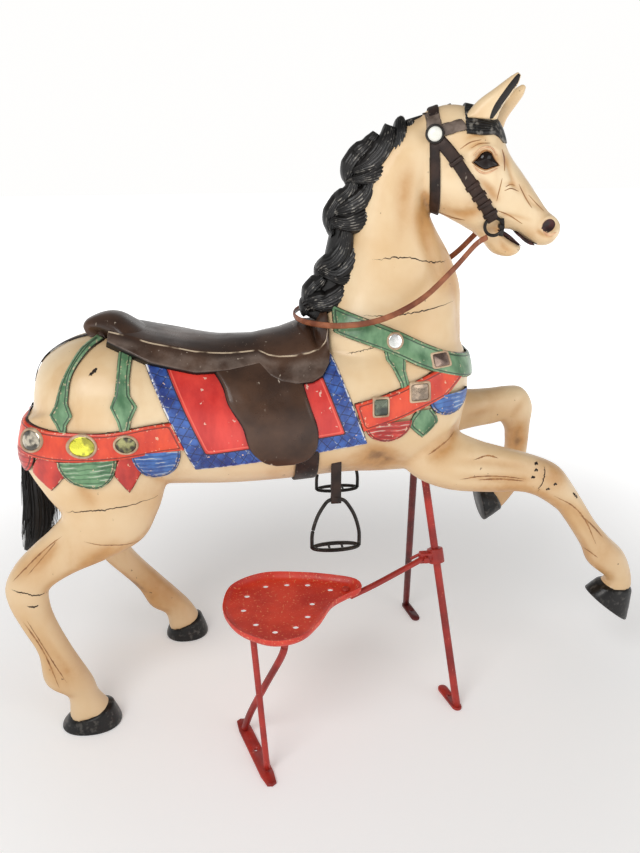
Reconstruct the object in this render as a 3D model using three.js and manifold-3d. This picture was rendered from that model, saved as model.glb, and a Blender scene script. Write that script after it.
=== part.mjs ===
// Carved wooden carousel horse on hind hooves and a red iron stand with a pressed-steel seat.
// Millimetres, +Z up, +X to the horse's nose, -Y to the decorated side, floor at z = 0.
import * as THREE from "three";
import { mergeVertices } from "three/addons/utils/BufferGeometryUtils.js";
import Module from "manifold-3d";

const wasm = await Module();
wasm.setup();

// The point of the working datum that becomes the part's origin on the floor
const ORIGIN = { x: 28, y: -83.5 };

const NEAR = -1;
const FAR = 1;
const GAP = 0.4;
const RING_SIDES = 16;
const LEG_SIDES = 8;
const ROUNDNESS = 2.3;
const LEAST_HALF_WIDTH = 3;
const WELD = 1e-3;
const SMALLEST_DETAIL = 1;
const HEAD_TURN = THREE.MathUtils.degToRad(12);
const POLL_X = 190;

// Stations: [topX, topZ, bottomX, bottomZ, y, halfWidth] of each cross-section
const TORSO = [
  [-592, 728, -592, 662, 0, 30],
  [-575, 788, -575, 605, 0, 88],
  [-545, 822, -545, 560, 0, 128],
  [-490, 848, -490, 542, 0, 156],
  [-410, 855, -410, 538, 0, 168],
  [-310, 838, -310, 534, 0, 165],
  [-200, 814, -200, 530, 0, 166],
  [-80, 816, -80, 533, 0, 168],
  [40, 850, 40, 538, 0, 165],
  [140, 880, 140, 532, 0, 158],
  [220, 875, 220, 538, 0, 142],
  [280, 845, 280, 578, 0, 108],
  [308, 800, 308, 640, 0, 62],
  [318, 750, 318, 690, 0, 22],
];
const NECK = [
  [-30, 800, 290, 690, 0, 135],
  [-20, 860, 300, 800, 0, 122],
  [5, 905, 298, 880, 0, 106],
  [25, 950, 292, 940, 0, 94],
  [45, 1005, 266, 1002, 0, 84],
  [58, 1065, 235, 1052, 0, 74],
  [75, 1130, 215, 1092, 0, 66],
  [100, 1190, 212, 1125, 0, 62],
  [152, 1242, 228, 1165, 0, 57],
  [215, 1268, 255, 1190, 0, 48],
];
const HEAD = [
  [205, 1272, 178, 1150, 0, 46],
  [250, 1284, 205, 1098, 0, 60],
  [300, 1276, 250, 1076, 0, 70],
  [343, 1250, 282, 1060, 0, 74],
  [371, 1196, 316, 1044, 0, 68],
  [400, 1159, 352, 1050, 0, 57],
  [430, 1121, 386, 1050, 0, 47],
  [455, 1089, 416, 1033, 0, 43],
  [472, 1075, 440, 1020, 0, 44],
  [482, 1062, 461, 1021, 0, 36],
  [483, 1048, 474, 1033, 0, 20],
];
const LOWER_JAW = [
  [330, 1080, 296, 1056, 0, 44],
  [360, 1052, 328, 1030, 0, 38],
  [384, 1036, 352, 1004, 0, 34],
  [402, 1024, 382, 996, 0, 30],
  [411, 1015, 401, 1001, 0, 16],
];
const EAR = [
  [276, 1262, 338, 1256, 0, 20],
  [300, 1290, 344, 1276, 0, 20],
  [330, 1312, 360, 1300, 0, 17],
  [354, 1330, 372, 1318, 0, 11],
  [369, 1340, 377, 1334, 0, 4],
];
const NEAR_HIND = [
  [-596, 715, -390, 780, -78, 62],
  [-610, 655, -350, 690, -90, 72],
  [-602, 612, -330, 595, -98, 66],
  [-572, 556, -340, 540, -108, 56],
  [-546, 512, -356, 500, -114, 50],
  [-572, 478, -386, 450, -120, 45],
  [-606, 450, -452, 415, -125, 40],
  [-646, 412, -530, 386, -130, 35],
  [-672, 366, -582, 354, -134, 32],
  [-670, 318, -590, 316, -135, 30],
  [-652, 262, -580, 262, -135, 27],
  [-628, 196, -554, 188, -135, 27],
  [-609, 124, -524, 114, -136, 30],
  [-594, 80, -504, 74, -136, 30],
  [-584, 44, -488, 48, -136, 37],
];
const FAR_HIND = [
  [-590, 715, -395, 780, 78, 62],
  [-590, 650, -362, 680, 90, 72],
  [-570, 595, -368, 590, 100, 64],
  [-545, 530, -380, 520, 112, 54],
  [-538, 470, -392, 448, 126, 46],
  [-548, 405, -420, 376, 140, 38],
  [-556, 345, -458, 322, 150, 34],
  [-548, 296, -464, 300, 156, 31],
  [-512, 238, -452, 268, 160, 28],
  [-482, 200, -424, 226, 162, 27],
  [-440, 146, -384, 176, 164, 28],
  [-408, 96, -342, 122, 166, 30],
  [-386, 64, -312, 88, 168, 31],
  [-372, 36, -294, 64, 169, 36],
];
const NEAR_FORE = [
  [215, 700, 140, 620, -62, 50],
  [280, 640, 176, 552, -90, 52],
  [329, 616, 248, 515, -104, 49],
  [374, 602, 340, 502, -110, 43],
  [432, 585, 418, 498, -112, 37],
  [482, 566, 458, 486, -113, 37],
  [516, 545, 490, 466, -113, 36],
  [545, 508, 508, 452, -113, 32],
  [574, 466, 524, 438, -113, 28],
  [612, 410, 556, 394, -113, 28],
  [652, 364, 590, 342, -113, 31],
  [690, 322, 619, 297, -113, 33],
  [714, 272, 648, 256, -113, 31],
  [724, 232, 646, 236, -113, 34],
];
const FAR_FORE = [
  [215, 700, 140, 620, 62, 50],
  [300, 668, 225, 548, 94, 56],
  [378, 657, 378, 566, 106, 45],
  [432, 657, 432, 571, 110, 39],
  [470, 660, 452, 575, 111, 38],
  [506, 655, 462, 566, 112, 38],
  [530, 618, 472, 548, 112, 35],
  [530, 570, 474, 530, 112, 30],
  [530, 510, 476, 505, 112, 27],
  [526, 450, 472, 452, 112, 28],
  [520, 408, 456, 424, 112, 31],
  [492, 362, 440, 412, 112, 31],
  [474, 342, 436, 404, 112, 35],
];

// Hooves: coronet and sole stations, as [frontX, frontZ, backX, backZ, y, halfWidth]
const HOOVES = [
  [[-488, 64, -582, 42, -136, 39], [-471, 0, -592, 0, -136, 49]],
  [[-293, 68, -376, 36, 169, 38], [-275, 0, -375, 0, 169, 48]],
  [[725, 224, 644, 238, -113, 37], [722, 140, 618, 222, -113, 46]],
  [[474, 340, 442, 404, 112, 37], [430, 308, 406, 410, 112, 44]],
];

// Locks of the mane: [x, z] along each lock on the neck's side, and its greatest half-width
const LOCKS = [
  { path: [[158, 1245], [162, 1202], [146, 1164], [118, 1146], [84, 1148]], half: 26 },
  { path: [[128, 1240], [118, 1205], [96, 1180], [58, 1170]], half: 34 },
  { path: [[94, 1146], [82, 1122], [50, 1104], [22, 1092]], half: 28 },
  { path: [[122, 1132], [110, 1108], [82, 1084], [44, 1070], [12, 1072]], half: 30 },
  { path: [[100, 1064], [98, 1024], [68, 990], [34, 962], [2, 962]], half: 34 },
  { path: [[48, 1056], [38, 1008], [18, 982], [-8, 966]], half: 32 },
  { path: [[68, 976], [56, 942], [22, 912], [-12, 898], [-34, 896]], half: 32 },
  { path: [[10, 952], [-8, 922], [-24, 896], [-36, 880]], half: 26 },
];
const LOCK_THICKNESS = 17;

// Trappings: heights above the carved skin
const SKIN_DEPTH = 14;
const BLANKET_RISE = 6;
const STRAP_RISE = 9;
const SCALLOP_RISE = 7;
const FLAP_RISE = 14;
const SADDLE_RISE = 22;
const TORSO_AXIS_Z = 690;
const TORSO_NOMINAL_HALF = 158;
const CHEST_AXIS_X = 170;
const RUMP_AXIS_X = -480;
const END_RADIUS = 125;

// Iron stand
const ROD_DIAMETER = 17;
const ARM_DIAMETER = 13;
const PLATE_THICKNESS = 6;
const SEAT_HEIGHT = 318;
const SEAT_CENTRE = [-120, -230];
const SEAT_THICKNESS = 4;
const SEAT_LIP = 16;

const woodPaint = new THREE.MeshStandardMaterial({ color: 0xe8cda0, roughness: 0.45 });
const hair = new THREE.MeshStandardMaterial({ color: 0x1a1615, roughness: 0.6 });
const leather = new THREE.MeshStandardMaterial({ color: 0x3a2a22, roughness: 0.6 });
const reinLeather = new THREE.MeshStandardMaterial({ color: 0x74442f, roughness: 0.6 });
const blackIron = new THREE.MeshStandardMaterial({ color: 0x2b2826, roughness: 0.4, metalness: 0.8 });
const redIron = new THREE.MeshStandardMaterial({ color: 0xaf3228, roughness: 0.5, metalness: 0.3 });
const mirrorGlass = new THREE.MeshStandardMaterial({ color: 0xb5b09a, roughness: 0.1, metalness: 0.9 });
const whiteEnamel = new THREE.MeshStandardMaterial({ color: 0xe9e6e0, roughness: 0.3 });

// Solids and their geometry
function solidOf(geometry) {
  const plain = geometry.index ? geometry.toNonIndexed() : geometry.clone();
  for (const name of Object.keys(plain.attributes)) {
    if (name !== "position") plain.deleteAttribute(name);
  }
  const merged = mergeVertices(plain, WELD);
  const vertProperties = new Float32Array(merged.attributes.position.array);
  const triVerts = new Uint32Array(merged.index.array);
  return new wasm.Manifold(new wasm.Mesh({ numProp: 3, vertProperties, triVerts }));
}

function geometryOf(solid) {
  const { numProp, vertProperties, triVerts } = solid.getMesh();
  const count = vertProperties.length / numProp;
  const positions = new Float32Array(count * 3);
  for (let i = 0; i < count; i++) {
    positions.set(vertProperties.subarray(i * numProp, i * numProp + 3), i * 3);
  }
  const geometry = new THREE.BufferGeometry();
  geometry.setAttribute("position", new THREE.BufferAttribute(positions, 3));
  geometry.setIndex(new THREE.BufferAttribute(new Uint32Array(triVerts), 1));
  return geometry;
}

// The outer skin alone, without small pockets closed in between joined pieces
function outerBody(solid) {
  return solid.decompose().reduce((best, body) => (body.volume() > best.volume() ? body : best));
}

function join(geometries) {
  return geometries.map(solidOf).reduce((sum, solid) => sum.add(solid));
}

// Closed skin over rings of equal point count, with a fan at each end
function skinRings(rings) {
  const sides = rings[0].length;
  const points = rings.flat();
  const faces = [];
  for (let r = 0; r + 1 < rings.length; r++) {
    for (let i = 0; i < sides; i++) {
      const a = r * sides + i;
      const b = r * sides + ((i + 1) % sides);
      faces.push([a, b, b + sides], [a, b + sides, a + sides]);
    }
  }
  for (const [ring, flip] of [[0, true], [rings.length - 1, false]]) {
    const centre = rings[ring].reduce((sum, p) => sum.add(p), new THREE.Vector3());
    points.push(centre.divideScalar(sides));
    for (let i = 0; i < sides; i++) {
      const a = ring * sides + i;
      const b = ring * sides + ((i + 1) % sides);
      faces.push(flip ? [points.length - 1, b, a] : [points.length - 1, a, b]);
    }
  }
  const volume = faces.reduce((sum, [a, b, c]) => {
    return sum + points[a].dot(new THREE.Vector3().crossVectors(points[b], points[c]));
  }, 0);
  if (volume < 0) faces.forEach((face) => face.reverse());
  const geometry = new THREE.BufferGeometry().setFromPoints(points);
  geometry.setIndex(faces.flat());
  return geometry;
}

function smoothCurve(points) {
  return new THREE.CatmullRomCurve3(points, false, "catmullrom", 0.5);
}

// Carved limb: cross-sections spanned by a top and a bottom point and a width along Y
function limb(stations, sides, stepsPerStation) {
  const tops = stations.map(([x, z, , , y]) => new THREE.Vector3(x, y, z));
  const bottoms = stations.map(([, , x, z, y]) => new THREE.Vector3(x, y, z));
  const widths = stations.map(([, , , , , half]) => new THREE.Vector3(half, 0, 0));
  const curves = [tops, bottoms, widths].map((points) => smoothCurve(points));
  const steps = (stations.length - 1) * stepsPerStation;
  const rings = [];
  for (let s = 0; s <= steps; s++) {
    const [top, bottom, width] = curves.map((curve) => curve.getPoint(s / steps));
    const centre = top.clone().add(bottom).multiplyScalar(0.5);
    const up = top.clone().sub(centre);
    const half = Math.max(width.x, LEAST_HALF_WIDTH);
    rings.push(ovalRing(centre, new THREE.Vector3(0, half, 0), up, sides));
  }
  return skinRings(rings);
}

function ovalRing(centre, side, up, sides) {
  const ring = [];
  for (let i = 0; i < sides; i++) {
    const angle = (2 * Math.PI * (i + 0.5)) / sides;
    const power = 2 / ROUNDNESS;
    const c = Math.sign(Math.cos(angle)) * Math.abs(Math.cos(angle)) ** power;
    const s = Math.sign(Math.sin(angle)) * Math.abs(Math.sin(angle)) ** power;
    ring.push(centre.clone().addScaledVector(side, c).addScaledVector(up, s));
  }
  return ring;
}

// Turns what belongs to the head towards the decorated side
function turnHead(geometry) {
  return geometry.translate(-POLL_X, 0, 0).rotateZ(-HEAD_TURN).translate(POLL_X, 0, 0);
}

function headPoint(x, y, z) {
  return new THREE.Vector3(x - POLL_X, y, z)
    .applyAxisAngle(new THREE.Vector3(0, 0, 1), -HEAD_TURN)
    .add(new THREE.Vector3(POLL_X, 0, 0));
}

// Round bar along a curve
function bar(points, diameter, sides, steps) {
  const line = points.map((p) => new THREE.Vector3(...p));
  const curve = new THREE.CatmullRomCurve3(line, false, "centripetal");
  const section = new THREE.Shape();
  section.absarc(0, 0, diameter / 2, 0, 2 * Math.PI);
  return new THREE.ExtrudeGeometry(section, { extrudePath: curve, steps, curveSegments: sides / 2 });
}

// The bare carved animal
const EAR_APART = 40;
const FAR_EAR_LEAN = { x: 24, z: -18 };

function ear(side) {
  const lean = side === NEAR ? { x: 0, z: 0 } : FAR_EAR_LEAN;
  return limb(EAR, LEG_SIDES, 1).translate(lean.x, side * EAR_APART, lean.z);
}

function hoof([coronet, sole]) {
  const toRing = ([fx, fz, bx, bz, y, half]) => {
    const centre = new THREE.Vector3((fx + bx) / 2, y, (fz + bz) / 2);
    const along = new THREE.Vector3((fx - bx) / 2, 0, (fz - bz) / 2);
    return ovalRing(centre, new THREE.Vector3(0, half, 0), along, LEG_SIDES + 2);
  };
  return skinRings([toRing(coronet), toRing(sole)]);
}

function bareHorse() {
  const head = [limb(HEAD, 14, 1), limb(LOWER_JAW, 10, 1), ear(NEAR), ear(FAR)].map(turnHead);
  const legs = [NEAR_HIND, FAR_HIND, NEAR_FORE, FAR_FORE].map((leg) => limb(leg, LEG_SIDES, 1));
  const trunk = [TORSO, NECK].map((stations) => limb(stations, RING_SIDES, 1));
  return join([...trunk, ...head, ...legs, ...HOOVES.map(hoof)]);
}

const bare = bareHorse();
const caster = new THREE.Raycaster();
const bothSides = new THREE.MeshBasicMaterial({ side: THREE.DoubleSide });
const target = new THREE.Mesh(geometryOf(bare), bothSides);

// Point of the carved skin where a ray from inside comes out
function skin(origin, direction, rise) {
  caster.set(origin, direction.clone().normalize());
  const [first] = caster.intersectObject(target);
  const hit = first ? first.point : origin.clone();
  return hit.addScaledVector(caster.ray.direction, rise);
}

// Place on the horse's flank: s runs along X and bends round the chest and the rump
function flank(s, z, side, rise) {
  const end = s > CHEST_AXIS_X ? CHEST_AXIS_X : Math.max(s, RUMP_AXIS_X);
  const angle = (s - end) / END_RADIUS;
  const direction = new THREE.Vector3(Math.sin(angle), side * Math.cos(angle), 0);
  return skin(new THREE.Vector3(end, 0, z), direction, rise);
}

// Place around the barrel: angle from straight up, positive to the given side
function barrel(x, degrees, side, rise) {
  const angle = THREE.MathUtils.degToRad(degrees);
  const direction = new THREE.Vector3(0, side * Math.sin(angle), Math.cos(angle));
  return skin(new THREE.Vector3(x, 0, TORSO_AXIS_Z), direction, rise);
}

// Raised slab that follows the skin: place(u, v, rise) gives a point, u and v from 0 to 1
function slab(place, columns, rows, rise) {
  const rings = [];
  for (let c = 0; c <= columns; c++) {
    const outer = [];
    const inner = [];
    for (let r = 0; r <= rows; r++) {
      outer.push(place(c / columns, r / rows, rise));
      inner.unshift(place(c / columns, r / rows, -SKIN_DEPTH));
    }
    rings.push([...outer, ...inner]);
  }
  return skinRings(rings);
}

function along(points, u) {
  const curve = new THREE.CatmullRomCurve3(points.map(([s, z]) => new THREE.Vector3(s, z, 0)));
  return curve.getPoint(u);
}

// Strap along a line on the flank
function strap(line, halfWidth, side, rise, columns) {
  return slab((u, v, lift) => {
    const { x: s, y: z } = along(line, u);
    return flank(s, z + halfWidth * (1 - 2 * v), side, lift);
  }, columns, 1, rise);
}

// Hanging ornament below a strap: round scallop or pointed lozenge
function pendant({ s, top, half, depth, pointed }, side) {
  return slab((u, v, lift) => {
    const across = 2 * u - 1;
    const reach = pointed ? 1 - 0.92 * Math.abs(across) : Math.sqrt(1 - 0.98 * across ** 2);
    return flank(s + half * across, top - depth * reach * v, side, lift);
  }, 6, 1, SCALLOP_RISE);
}

// Straps as lines of [s, z] on the flank
const WIDE_STRAP_HALF = 30;
const BREAST_STRAP_HALF = 26;
const HIP_STRAP = [[-660, 694], [-600, 694], [-520, 676], [-435, 673], [-350, 684], [-295, 688]];
const BREAST_STRAP = [[15, 886], [80, 866], [140, 843], [215, 808], [290, 782], [366, 770]];
const CHEST_STRAP = [[45, 712], [140, 737], [215, 767], [280, 776]];
const PENDANTS = [
  { s: -585, top: 662, half: 34, depth: 50 },
  { s: -535, top: 650, half: 26, depth: 70, pointed: true },
  { s: -470, top: 642, half: 50, depth: 60 },
  { s: -402, top: 648, half: 26, depth: 78, pointed: true },
  { s: -345, top: 655, half: 48, depth: 62 },
  { s: 118, top: 694, half: 46, depth: 44 },
  { s: 185, top: 716, half: 30, depth: 66, pointed: true },
  { s: 240, top: 736, half: 44, depth: 44 },
];

// Straps that drop from the saddle to the hip strap, each with a lozenge: [x, degrees off straight up]
const RUMP_DROPS = [
  { top: [-470, 26], bottom: [-520, 80] },
  { top: [-392, 22], bottom: [-400, 80] },
];
const DROP_HALF = 13;
const LOZENGE = { half: 12, at: 0.72, spread: 0.12 };

function rumpDrop({ top, bottom }, side) {
  const bend = 0.8;
  const half = (v) => DROP_HALF + LOZENGE.half * Math.exp(-(((v - LOZENGE.at) / LOZENGE.spread) ** 2));
  return slab((u, v, lift) => {
    const x = top[0] + (bottom[0] - top[0]) * v ** bend + half(v) * (2 * u - 1);
    return barrel(x, top[1] + (bottom[1] - top[1]) * v, side, lift);
  }, 1, 6, STRAP_RISE);
}

// Blanket edges lean outwards from the saddle to the hem
const BLANKET_TOP = { angle: 22, left: -362, right: 0 };
const BLANKET_HEM = { left: -272, right: 75, leftZ: 607, rightZ: 645 };
const BLANKET_DROP = 235;
const FLAP = { top: [-232, -52], hem: [-162, -32], hemZ: 612, topAngle: 40, belly: 12, roundFrom: 0.7 };

function nominalHeight(degrees) {
  return TORSO_AXIS_Z + TORSO_NOMINAL_HALF * Math.cos(THREE.MathUtils.degToRad(degrees));
}

function angleAt(z) {
  return THREE.MathUtils.radToDeg(Math.acos((z - TORSO_AXIS_Z) / TORSO_NOMINAL_HALF));
}

function blanket(side) {
  return slab((u, v, lift) => {
    const hemZ = BLANKET_HEM.leftZ + (BLANKET_HEM.rightZ - BLANKET_HEM.leftZ) * u;
    const degrees = BLANKET_TOP.angle + (angleAt(hemZ) - BLANKET_TOP.angle) * v;
    const drop = (nominalHeight(BLANKET_TOP.angle) - nominalHeight(degrees)) / BLANKET_DROP;
    const left = BLANKET_TOP.left + (BLANKET_HEM.left - BLANKET_TOP.left) * drop;
    const right = BLANKET_TOP.right + (BLANKET_HEM.right - BLANKET_TOP.right) * drop;
    return barrel(left + (right - left) * u, degrees, side, lift);
  }, 5, 4, BLANKET_RISE);
}

function saddleFlap(side) {
  const bottomAngle = angleAt(FLAP.hemZ);
  return slab((u, v, lift) => {
    const past = Math.max(0, v - FLAP.roundFrom) / (1 - FLAP.roundFrom);
    const roundEnd = Math.sqrt(Math.max(0.02, 1 - past ** 2));
    const low = FLAP.top[0] + (FLAP.hem[0] - FLAP.top[0]) * v;
    const high = FLAP.top[1] + (FLAP.hem[1] - FLAP.top[1]) * v + FLAP.belly * Math.sin(Math.PI * v);
    const middle = (low + high) / 2;
    const x = middle + ((high - low) / 2) * (2 * u - 1) * (0.45 + 0.55 * roundEnd);
    const degrees = FLAP.topAngle + (bottomAngle - FLAP.topAngle) * v;
    return barrel(x, degrees, side, lift);
  }, 2, 5, FLAP_RISE);
}

// Saddle: [x, top height above the floor, half-angle of the skirt]
const SADDLE = [
  [-448, 880, 26],
  [-428, 886, 34],
  [-395, 878, 44],
  [-345, 856, 50],
  [-290, 840, 54],
  [-215, 833, 56],
  [-145, 836, 56],
  [-85, 845, 54],
  [-45, 860, 50],
  [-15, 872, 42],
];

function saddleSeat() {
  const columns = 4;
  const rings = SADDLE.map(([x, top, halfAngle]) => {
    const outer = [];
    const inner = [];
    for (let c = -columns; c <= columns; c++) {
      const degrees = Math.max(2, halfAngle * Math.abs(c / columns));
      const side = c < 0 ? NEAR : FAR;
      const crown = barrel(x, 2, side, 0).z;
      const blend = 1 - (c / columns) ** 2;
      const rise = SADDLE_RISE + (top - crown - SADDLE_RISE) * blend;
      const p = barrel(x, degrees, side, Math.max(8, rise));
      if (c === 0) p.y = 0;
      outer.push(p);
      inner.unshift(barrel(x, degrees, side, -SKIN_DEPTH));
    }
    return [...outer, ...inner];
  });
  return skinRings(rings);
}

// Rolled edge of the cantle, with a curl that overhangs the rump
const CANTLE = { x: -440, bend: 0.03, rise: 26, sink: 0.008, reach: 42, step: 7, diameter: 24 };
const CANTLE_CURL = [
  [-446, -70, 868], [-462, -40, 876], [-470, 0, 878], [-462, 40, 876], [-446, 70, 868],
];
const CURL_DIAMETER = 22;

function cantleRoll() {
  const points = [];
  for (let degrees = -CANTLE.reach; degrees <= CANTLE.reach; degrees += CANTLE.step) {
    const x = CANTLE.x + CANTLE.bend * degrees ** 2;
    const rise = CANTLE.rise - CANTLE.sink * degrees ** 2;
    const p = barrel(x, Math.max(1, Math.abs(degrees)), degrees < 0 ? NEAR : FAR, rise);
    points.push([p.x, degrees === 0 ? 0 : p.y, p.z]);
  }
  return [bar(points, CANTLE.diameter, 6, 10), bar(CANTLE_CURL, CURL_DIAMETER, 6, 6)];
}

// Girth strap under the belly, between two angles off straight up
const GIRTH = { x: -48, half: 24, from: 110, to: 250, rise: 6 };

function girth() {
  return slab((u, v, lift) => {
    const degrees = GIRTH.from + (GIRTH.to - GIRTH.from) * u;
    return barrel(GIRTH.x + GIRTH.half * (2 * v - 1), degrees, NEAR, lift);
  }, 8, 1, GIRTH.rise);
}

// Lock of carved hair lying on the neck
function lock({ path, half }, side) {
  const line = new THREE.CatmullRomCurve3(path.map(([x, z]) => new THREE.Vector3(x, 0, z)));
  const stations = 4;
  const spine = [];
  for (let i = 0; i <= stations; i++) {
    const p = line.getPoint(i / stations);
    spine.push(skin(p, new THREE.Vector3(0, side, 0), LOCK_THICKNESS * 0.2));
  }
  const rings = spine.map((p, i) => {
    const u = i / stations;
    const [before, after] = [spine[Math.max(i - 1, 0)], spine[Math.min(i + 1, stations)]];
    const tangent = after.clone().sub(before).normalize();
    const sideways = new THREE.Vector3(0, side, 0);
    const across = new THREE.Vector3().crossVectors(tangent, sideways).normalize();
    const out = new THREE.Vector3().crossVectors(across, tangent).normalize();
    const swell = 0.25 + 0.75 * Math.sin(Math.PI * Math.min(1, 0.18 + 0.8 * u)) ** 0.8;
    out.multiplyScalar(LOCK_THICKNESS * swell);
    return ovalRing(p, across.multiplyScalar(half * swell), out, 6);
  });
  return skinRings(rings);
}

// Crest of the mane over the ridge of the neck
const MANE_CREST = [
  [-36, 884, 20, 862, -4, 34],
  [-12, 932, 60, 915, -4, 36],
  [6, 990, 80, 985, -4, 34],
  [22, 1058, 90, 1048, -4, 32],
  [46, 1122, 110, 1100, -4, 30],
  [72, 1186, 130, 1150, -4, 28],
  [114, 1228, 160, 1190, -4, 26],
  [160, 1253, 190, 1216, -2, 18],
  [200, 1266, 208, 1244, 0, 9],
];

const FORELOCK = [[286, -30, 1262], [318, -40, 1252], [345, -36, 1232], [357, -22, 1210]];
const FORELOCK_DIAMETER = 40;

function forelock() {
  return turnHead(bar(FORELOCK, FORELOCK_DIAMETER, 8, 6));
}

// Horse with all that is carved on it
function carvedHorse() {
  const pieces = [saddleSeat(), ...cantleRoll(), girth(), limb(MANE_CREST, 10, 1), forelock()];
  for (const side of [NEAR, FAR]) {
    pieces.push(blanket(side), saddleFlap(side));
    pieces.push(strap(HIP_STRAP, WIDE_STRAP_HALF, side, STRAP_RISE, 8));
    pieces.push(strap(BREAST_STRAP, BREAST_STRAP_HALF, side, STRAP_RISE, 7));
    pieces.push(strap(CHEST_STRAP, WIDE_STRAP_HALF, side, STRAP_RISE, 5));
    pieces.push(...RUMP_DROPS.map((d) => rumpDrop(d, side)));
  }
  pieces.push(...PENDANTS.map((p) => pendant(p, NEAR)));
  pieces.push(...LOCKS.map((l) => lock(l, NEAR)));
  const whole = outerBody(pieces.map(solidOf).reduce((sum, solid) => sum.add(solid), bare));
  return whole.asOriginal().simplify(SMALLEST_DETAIL);
}

// Keeps a solid clear of its neighbour on all sides
function clearOf(solid, neighbour) {
  let kept = solid;
  for (const axis of ["x", "y", "z"]) {
    for (const shift of [-GAP, GAP]) {
      const move = new THREE.Vector3();
      move[axis] = shift;
      kept = kept.subtract(solidOf(neighbour.clone().translate(move.x, move.y, move.z)));
    }
  }
  return outerBody(kept);
}

// Tail of loose hair, between the buttocks
const TAIL = [
  [-600, 712, -580, 700, 0, 12],
  [-614, 685, -584, 676, 0, 18],
  [-628, 640, -588, 630, 0, 23],
  [-638, 560, -588, 550, 0, 27],
  [-643, 484, -588, 474, 0, 27],
  [-654, 412, -606, 402, 0, 20],
  [-662, 362, -648, 358, 0, 7],
];

// Leather headstall: places on the turned head
function headSkin(x, z, side, rise) {
  const sideways = headPoint(POLL_X, side, 0).sub(headPoint(POLL_X, 0, 0));
  return skin(headPoint(x, 0, z), sideways, rise);
}

const LEATHER_OUTER = 9;
const LEATHER_INNER = 5;
const ROSETTE = { x: 222, z: 1232 };
const BIT = { x: 345, z: 1062, rise: 23, radius: 17, wire: 6.4 };

// Band round the head in a plane across it, from one angle off straight up to another
function headBand(centre, forward, from, to, half, columns) {
  const rings = [];
  const start = headPoint(centre.x, 0, centre.z);
  for (let c = 0; c <= columns; c++) {
    const angle = THREE.MathUtils.degToRad(from + ((to - from) * c) / columns);
    const up = new THREE.Vector3(Math.sin(forward), 0, Math.cos(forward));
    const flat = up.multiplyScalar(Math.cos(angle)).add(new THREE.Vector3(0, Math.sin(angle), 0));
    const out = flat.applyAxisAngle(new THREE.Vector3(0, 0, 1), -HEAD_TURN);
    const across = new THREE.Vector3(Math.cos(forward), 0, -Math.sin(forward));
    across.applyAxisAngle(new THREE.Vector3(0, 0, 1), -HEAD_TURN);
    const edges = [-half, half].map((w) => start.clone().addScaledVector(across, w));
    const outer = edges.map((p) => skin(p, out, LEATHER_OUTER));
    const inner = edges.map((p) => skin(p, out, LEATHER_INNER)).reverse();
    rings.push([...outer, ...inner]);
  }
  return skinRings(rings);
}

// Cheek strap from the rosette down to the bit
const CHEEK_FOOT = { x: 336, z: 1092 };
const CHEEK_EDGE = { x: 9, z: 8 };

function cheekStrap(side) {
  const rings = [];
  const columns = 6;
  for (let c = 0; c <= columns; c++) {
    const u = c / columns;
    const x = ROSETTE.x + (CHEEK_FOOT.x - ROSETTE.x) * u;
    const z = ROSETTE.z + (CHEEK_FOOT.z - ROSETTE.z) * u;
    const edge = (sign, rise) => headSkin(x + sign * CHEEK_EDGE.x, z + sign * CHEEK_EDGE.z, side, rise);
    const outer = [edge(-1, LEATHER_OUTER), edge(1, LEATHER_OUTER)];
    const inner = [edge(1, LEATHER_INNER), edge(-1, LEATHER_INNER)];
    rings.push([...outer, ...inner]);
  }
  return skinRings(rings);
}

// Crown and throat in one loop, and a browband on each side
const LOOP = { x: 224, z: 1190, lean: -0.06, reach: 150, half: 9 };
const BROWBAND = { x: 226, z: 1236, lean: 1.3, from: 95, to: 52, half: 10 };

function bridle() {
  const loop = headBand(LOOP, LOOP.lean, -LOOP.reach, LOOP.reach, LOOP.half, 18);
  const { lean, from, to, half } = BROWBAND;
  const browbands = [NEAR, FAR].map((side) => headBand(BROWBAND, lean, side * from, side * to, half, 3));
  return join([loop, ...browbands, cheekStrap(NEAR), cheekStrap(FAR)]);
}

// Rosette profile as [radius, height], standing off the leather
const ROSETTE_PROFILE = [[0, 0], [15, 0], [16, 3], [12, 7], [0, 9]];
const ROSETTE_STANDOFF = 8;

function rosette(side) {
  const profile = ROSETTE_PROFILE.map(([r, h]) => new THREE.Vector2(r, h));
  const geometry = new THREE.LatheGeometry(profile, 12);
  const turned = geometry.rotateX(side === NEAR ? Math.PI : 0).rotateZ(-HEAD_TURN);
  const place = headSkin(ROSETTE.x, ROSETTE.z, side, LEATHER_OUTER + ROSETTE_STANDOFF);
  return turned.translate(place.x, place.y, place.z);
}

function bitRing(side) {
  const place = headSkin(BIT.x, BIT.z, side, BIT.rise);
  const ring = new THREE.TorusGeometry(BIT.radius, BIT.wire / 2, 5, 12);
  ring.rotateX(Math.PI / 2).rotateZ(-HEAD_TURN);
  return ring.translate(place.x, place.y, place.z);
}

// Reins: from each bit ring along the neck to the withers, in front of the saddle
const REIN_DIAMETER = 12;
const REIN_NEAR = [
  [291, -100, 1029], [241, -120, 984], [177, -134, 932],
  [99, -136, 896], [24, -116, 882], [-34, -66, 878],
];
const REIN_BACK = [-54, 0, 878];
const REIN_FAR = [
  [-34, 66, 878], [24, 116, 880], [99, 136, 890],
  [177, 134, 912], [250, 110, 940], [300, 72, 980],
];
const REIN_BELOW_BIT = { x: 14, z: 23 };

function reins() {
  const start = (side) => {
    const place = headSkin(BIT.x, BIT.z, side, BIT.rise);
    return [place.x - REIN_BELOW_BIT.x, place.y, place.z - REIN_BELOW_BIT.z];
  };
  const points = [start(NEAR), ...REIN_NEAR, REIN_BACK, ...REIN_FAR, start(FAR)];
  return bar(points, REIN_DIAMETER, 8, 32);
}

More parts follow.
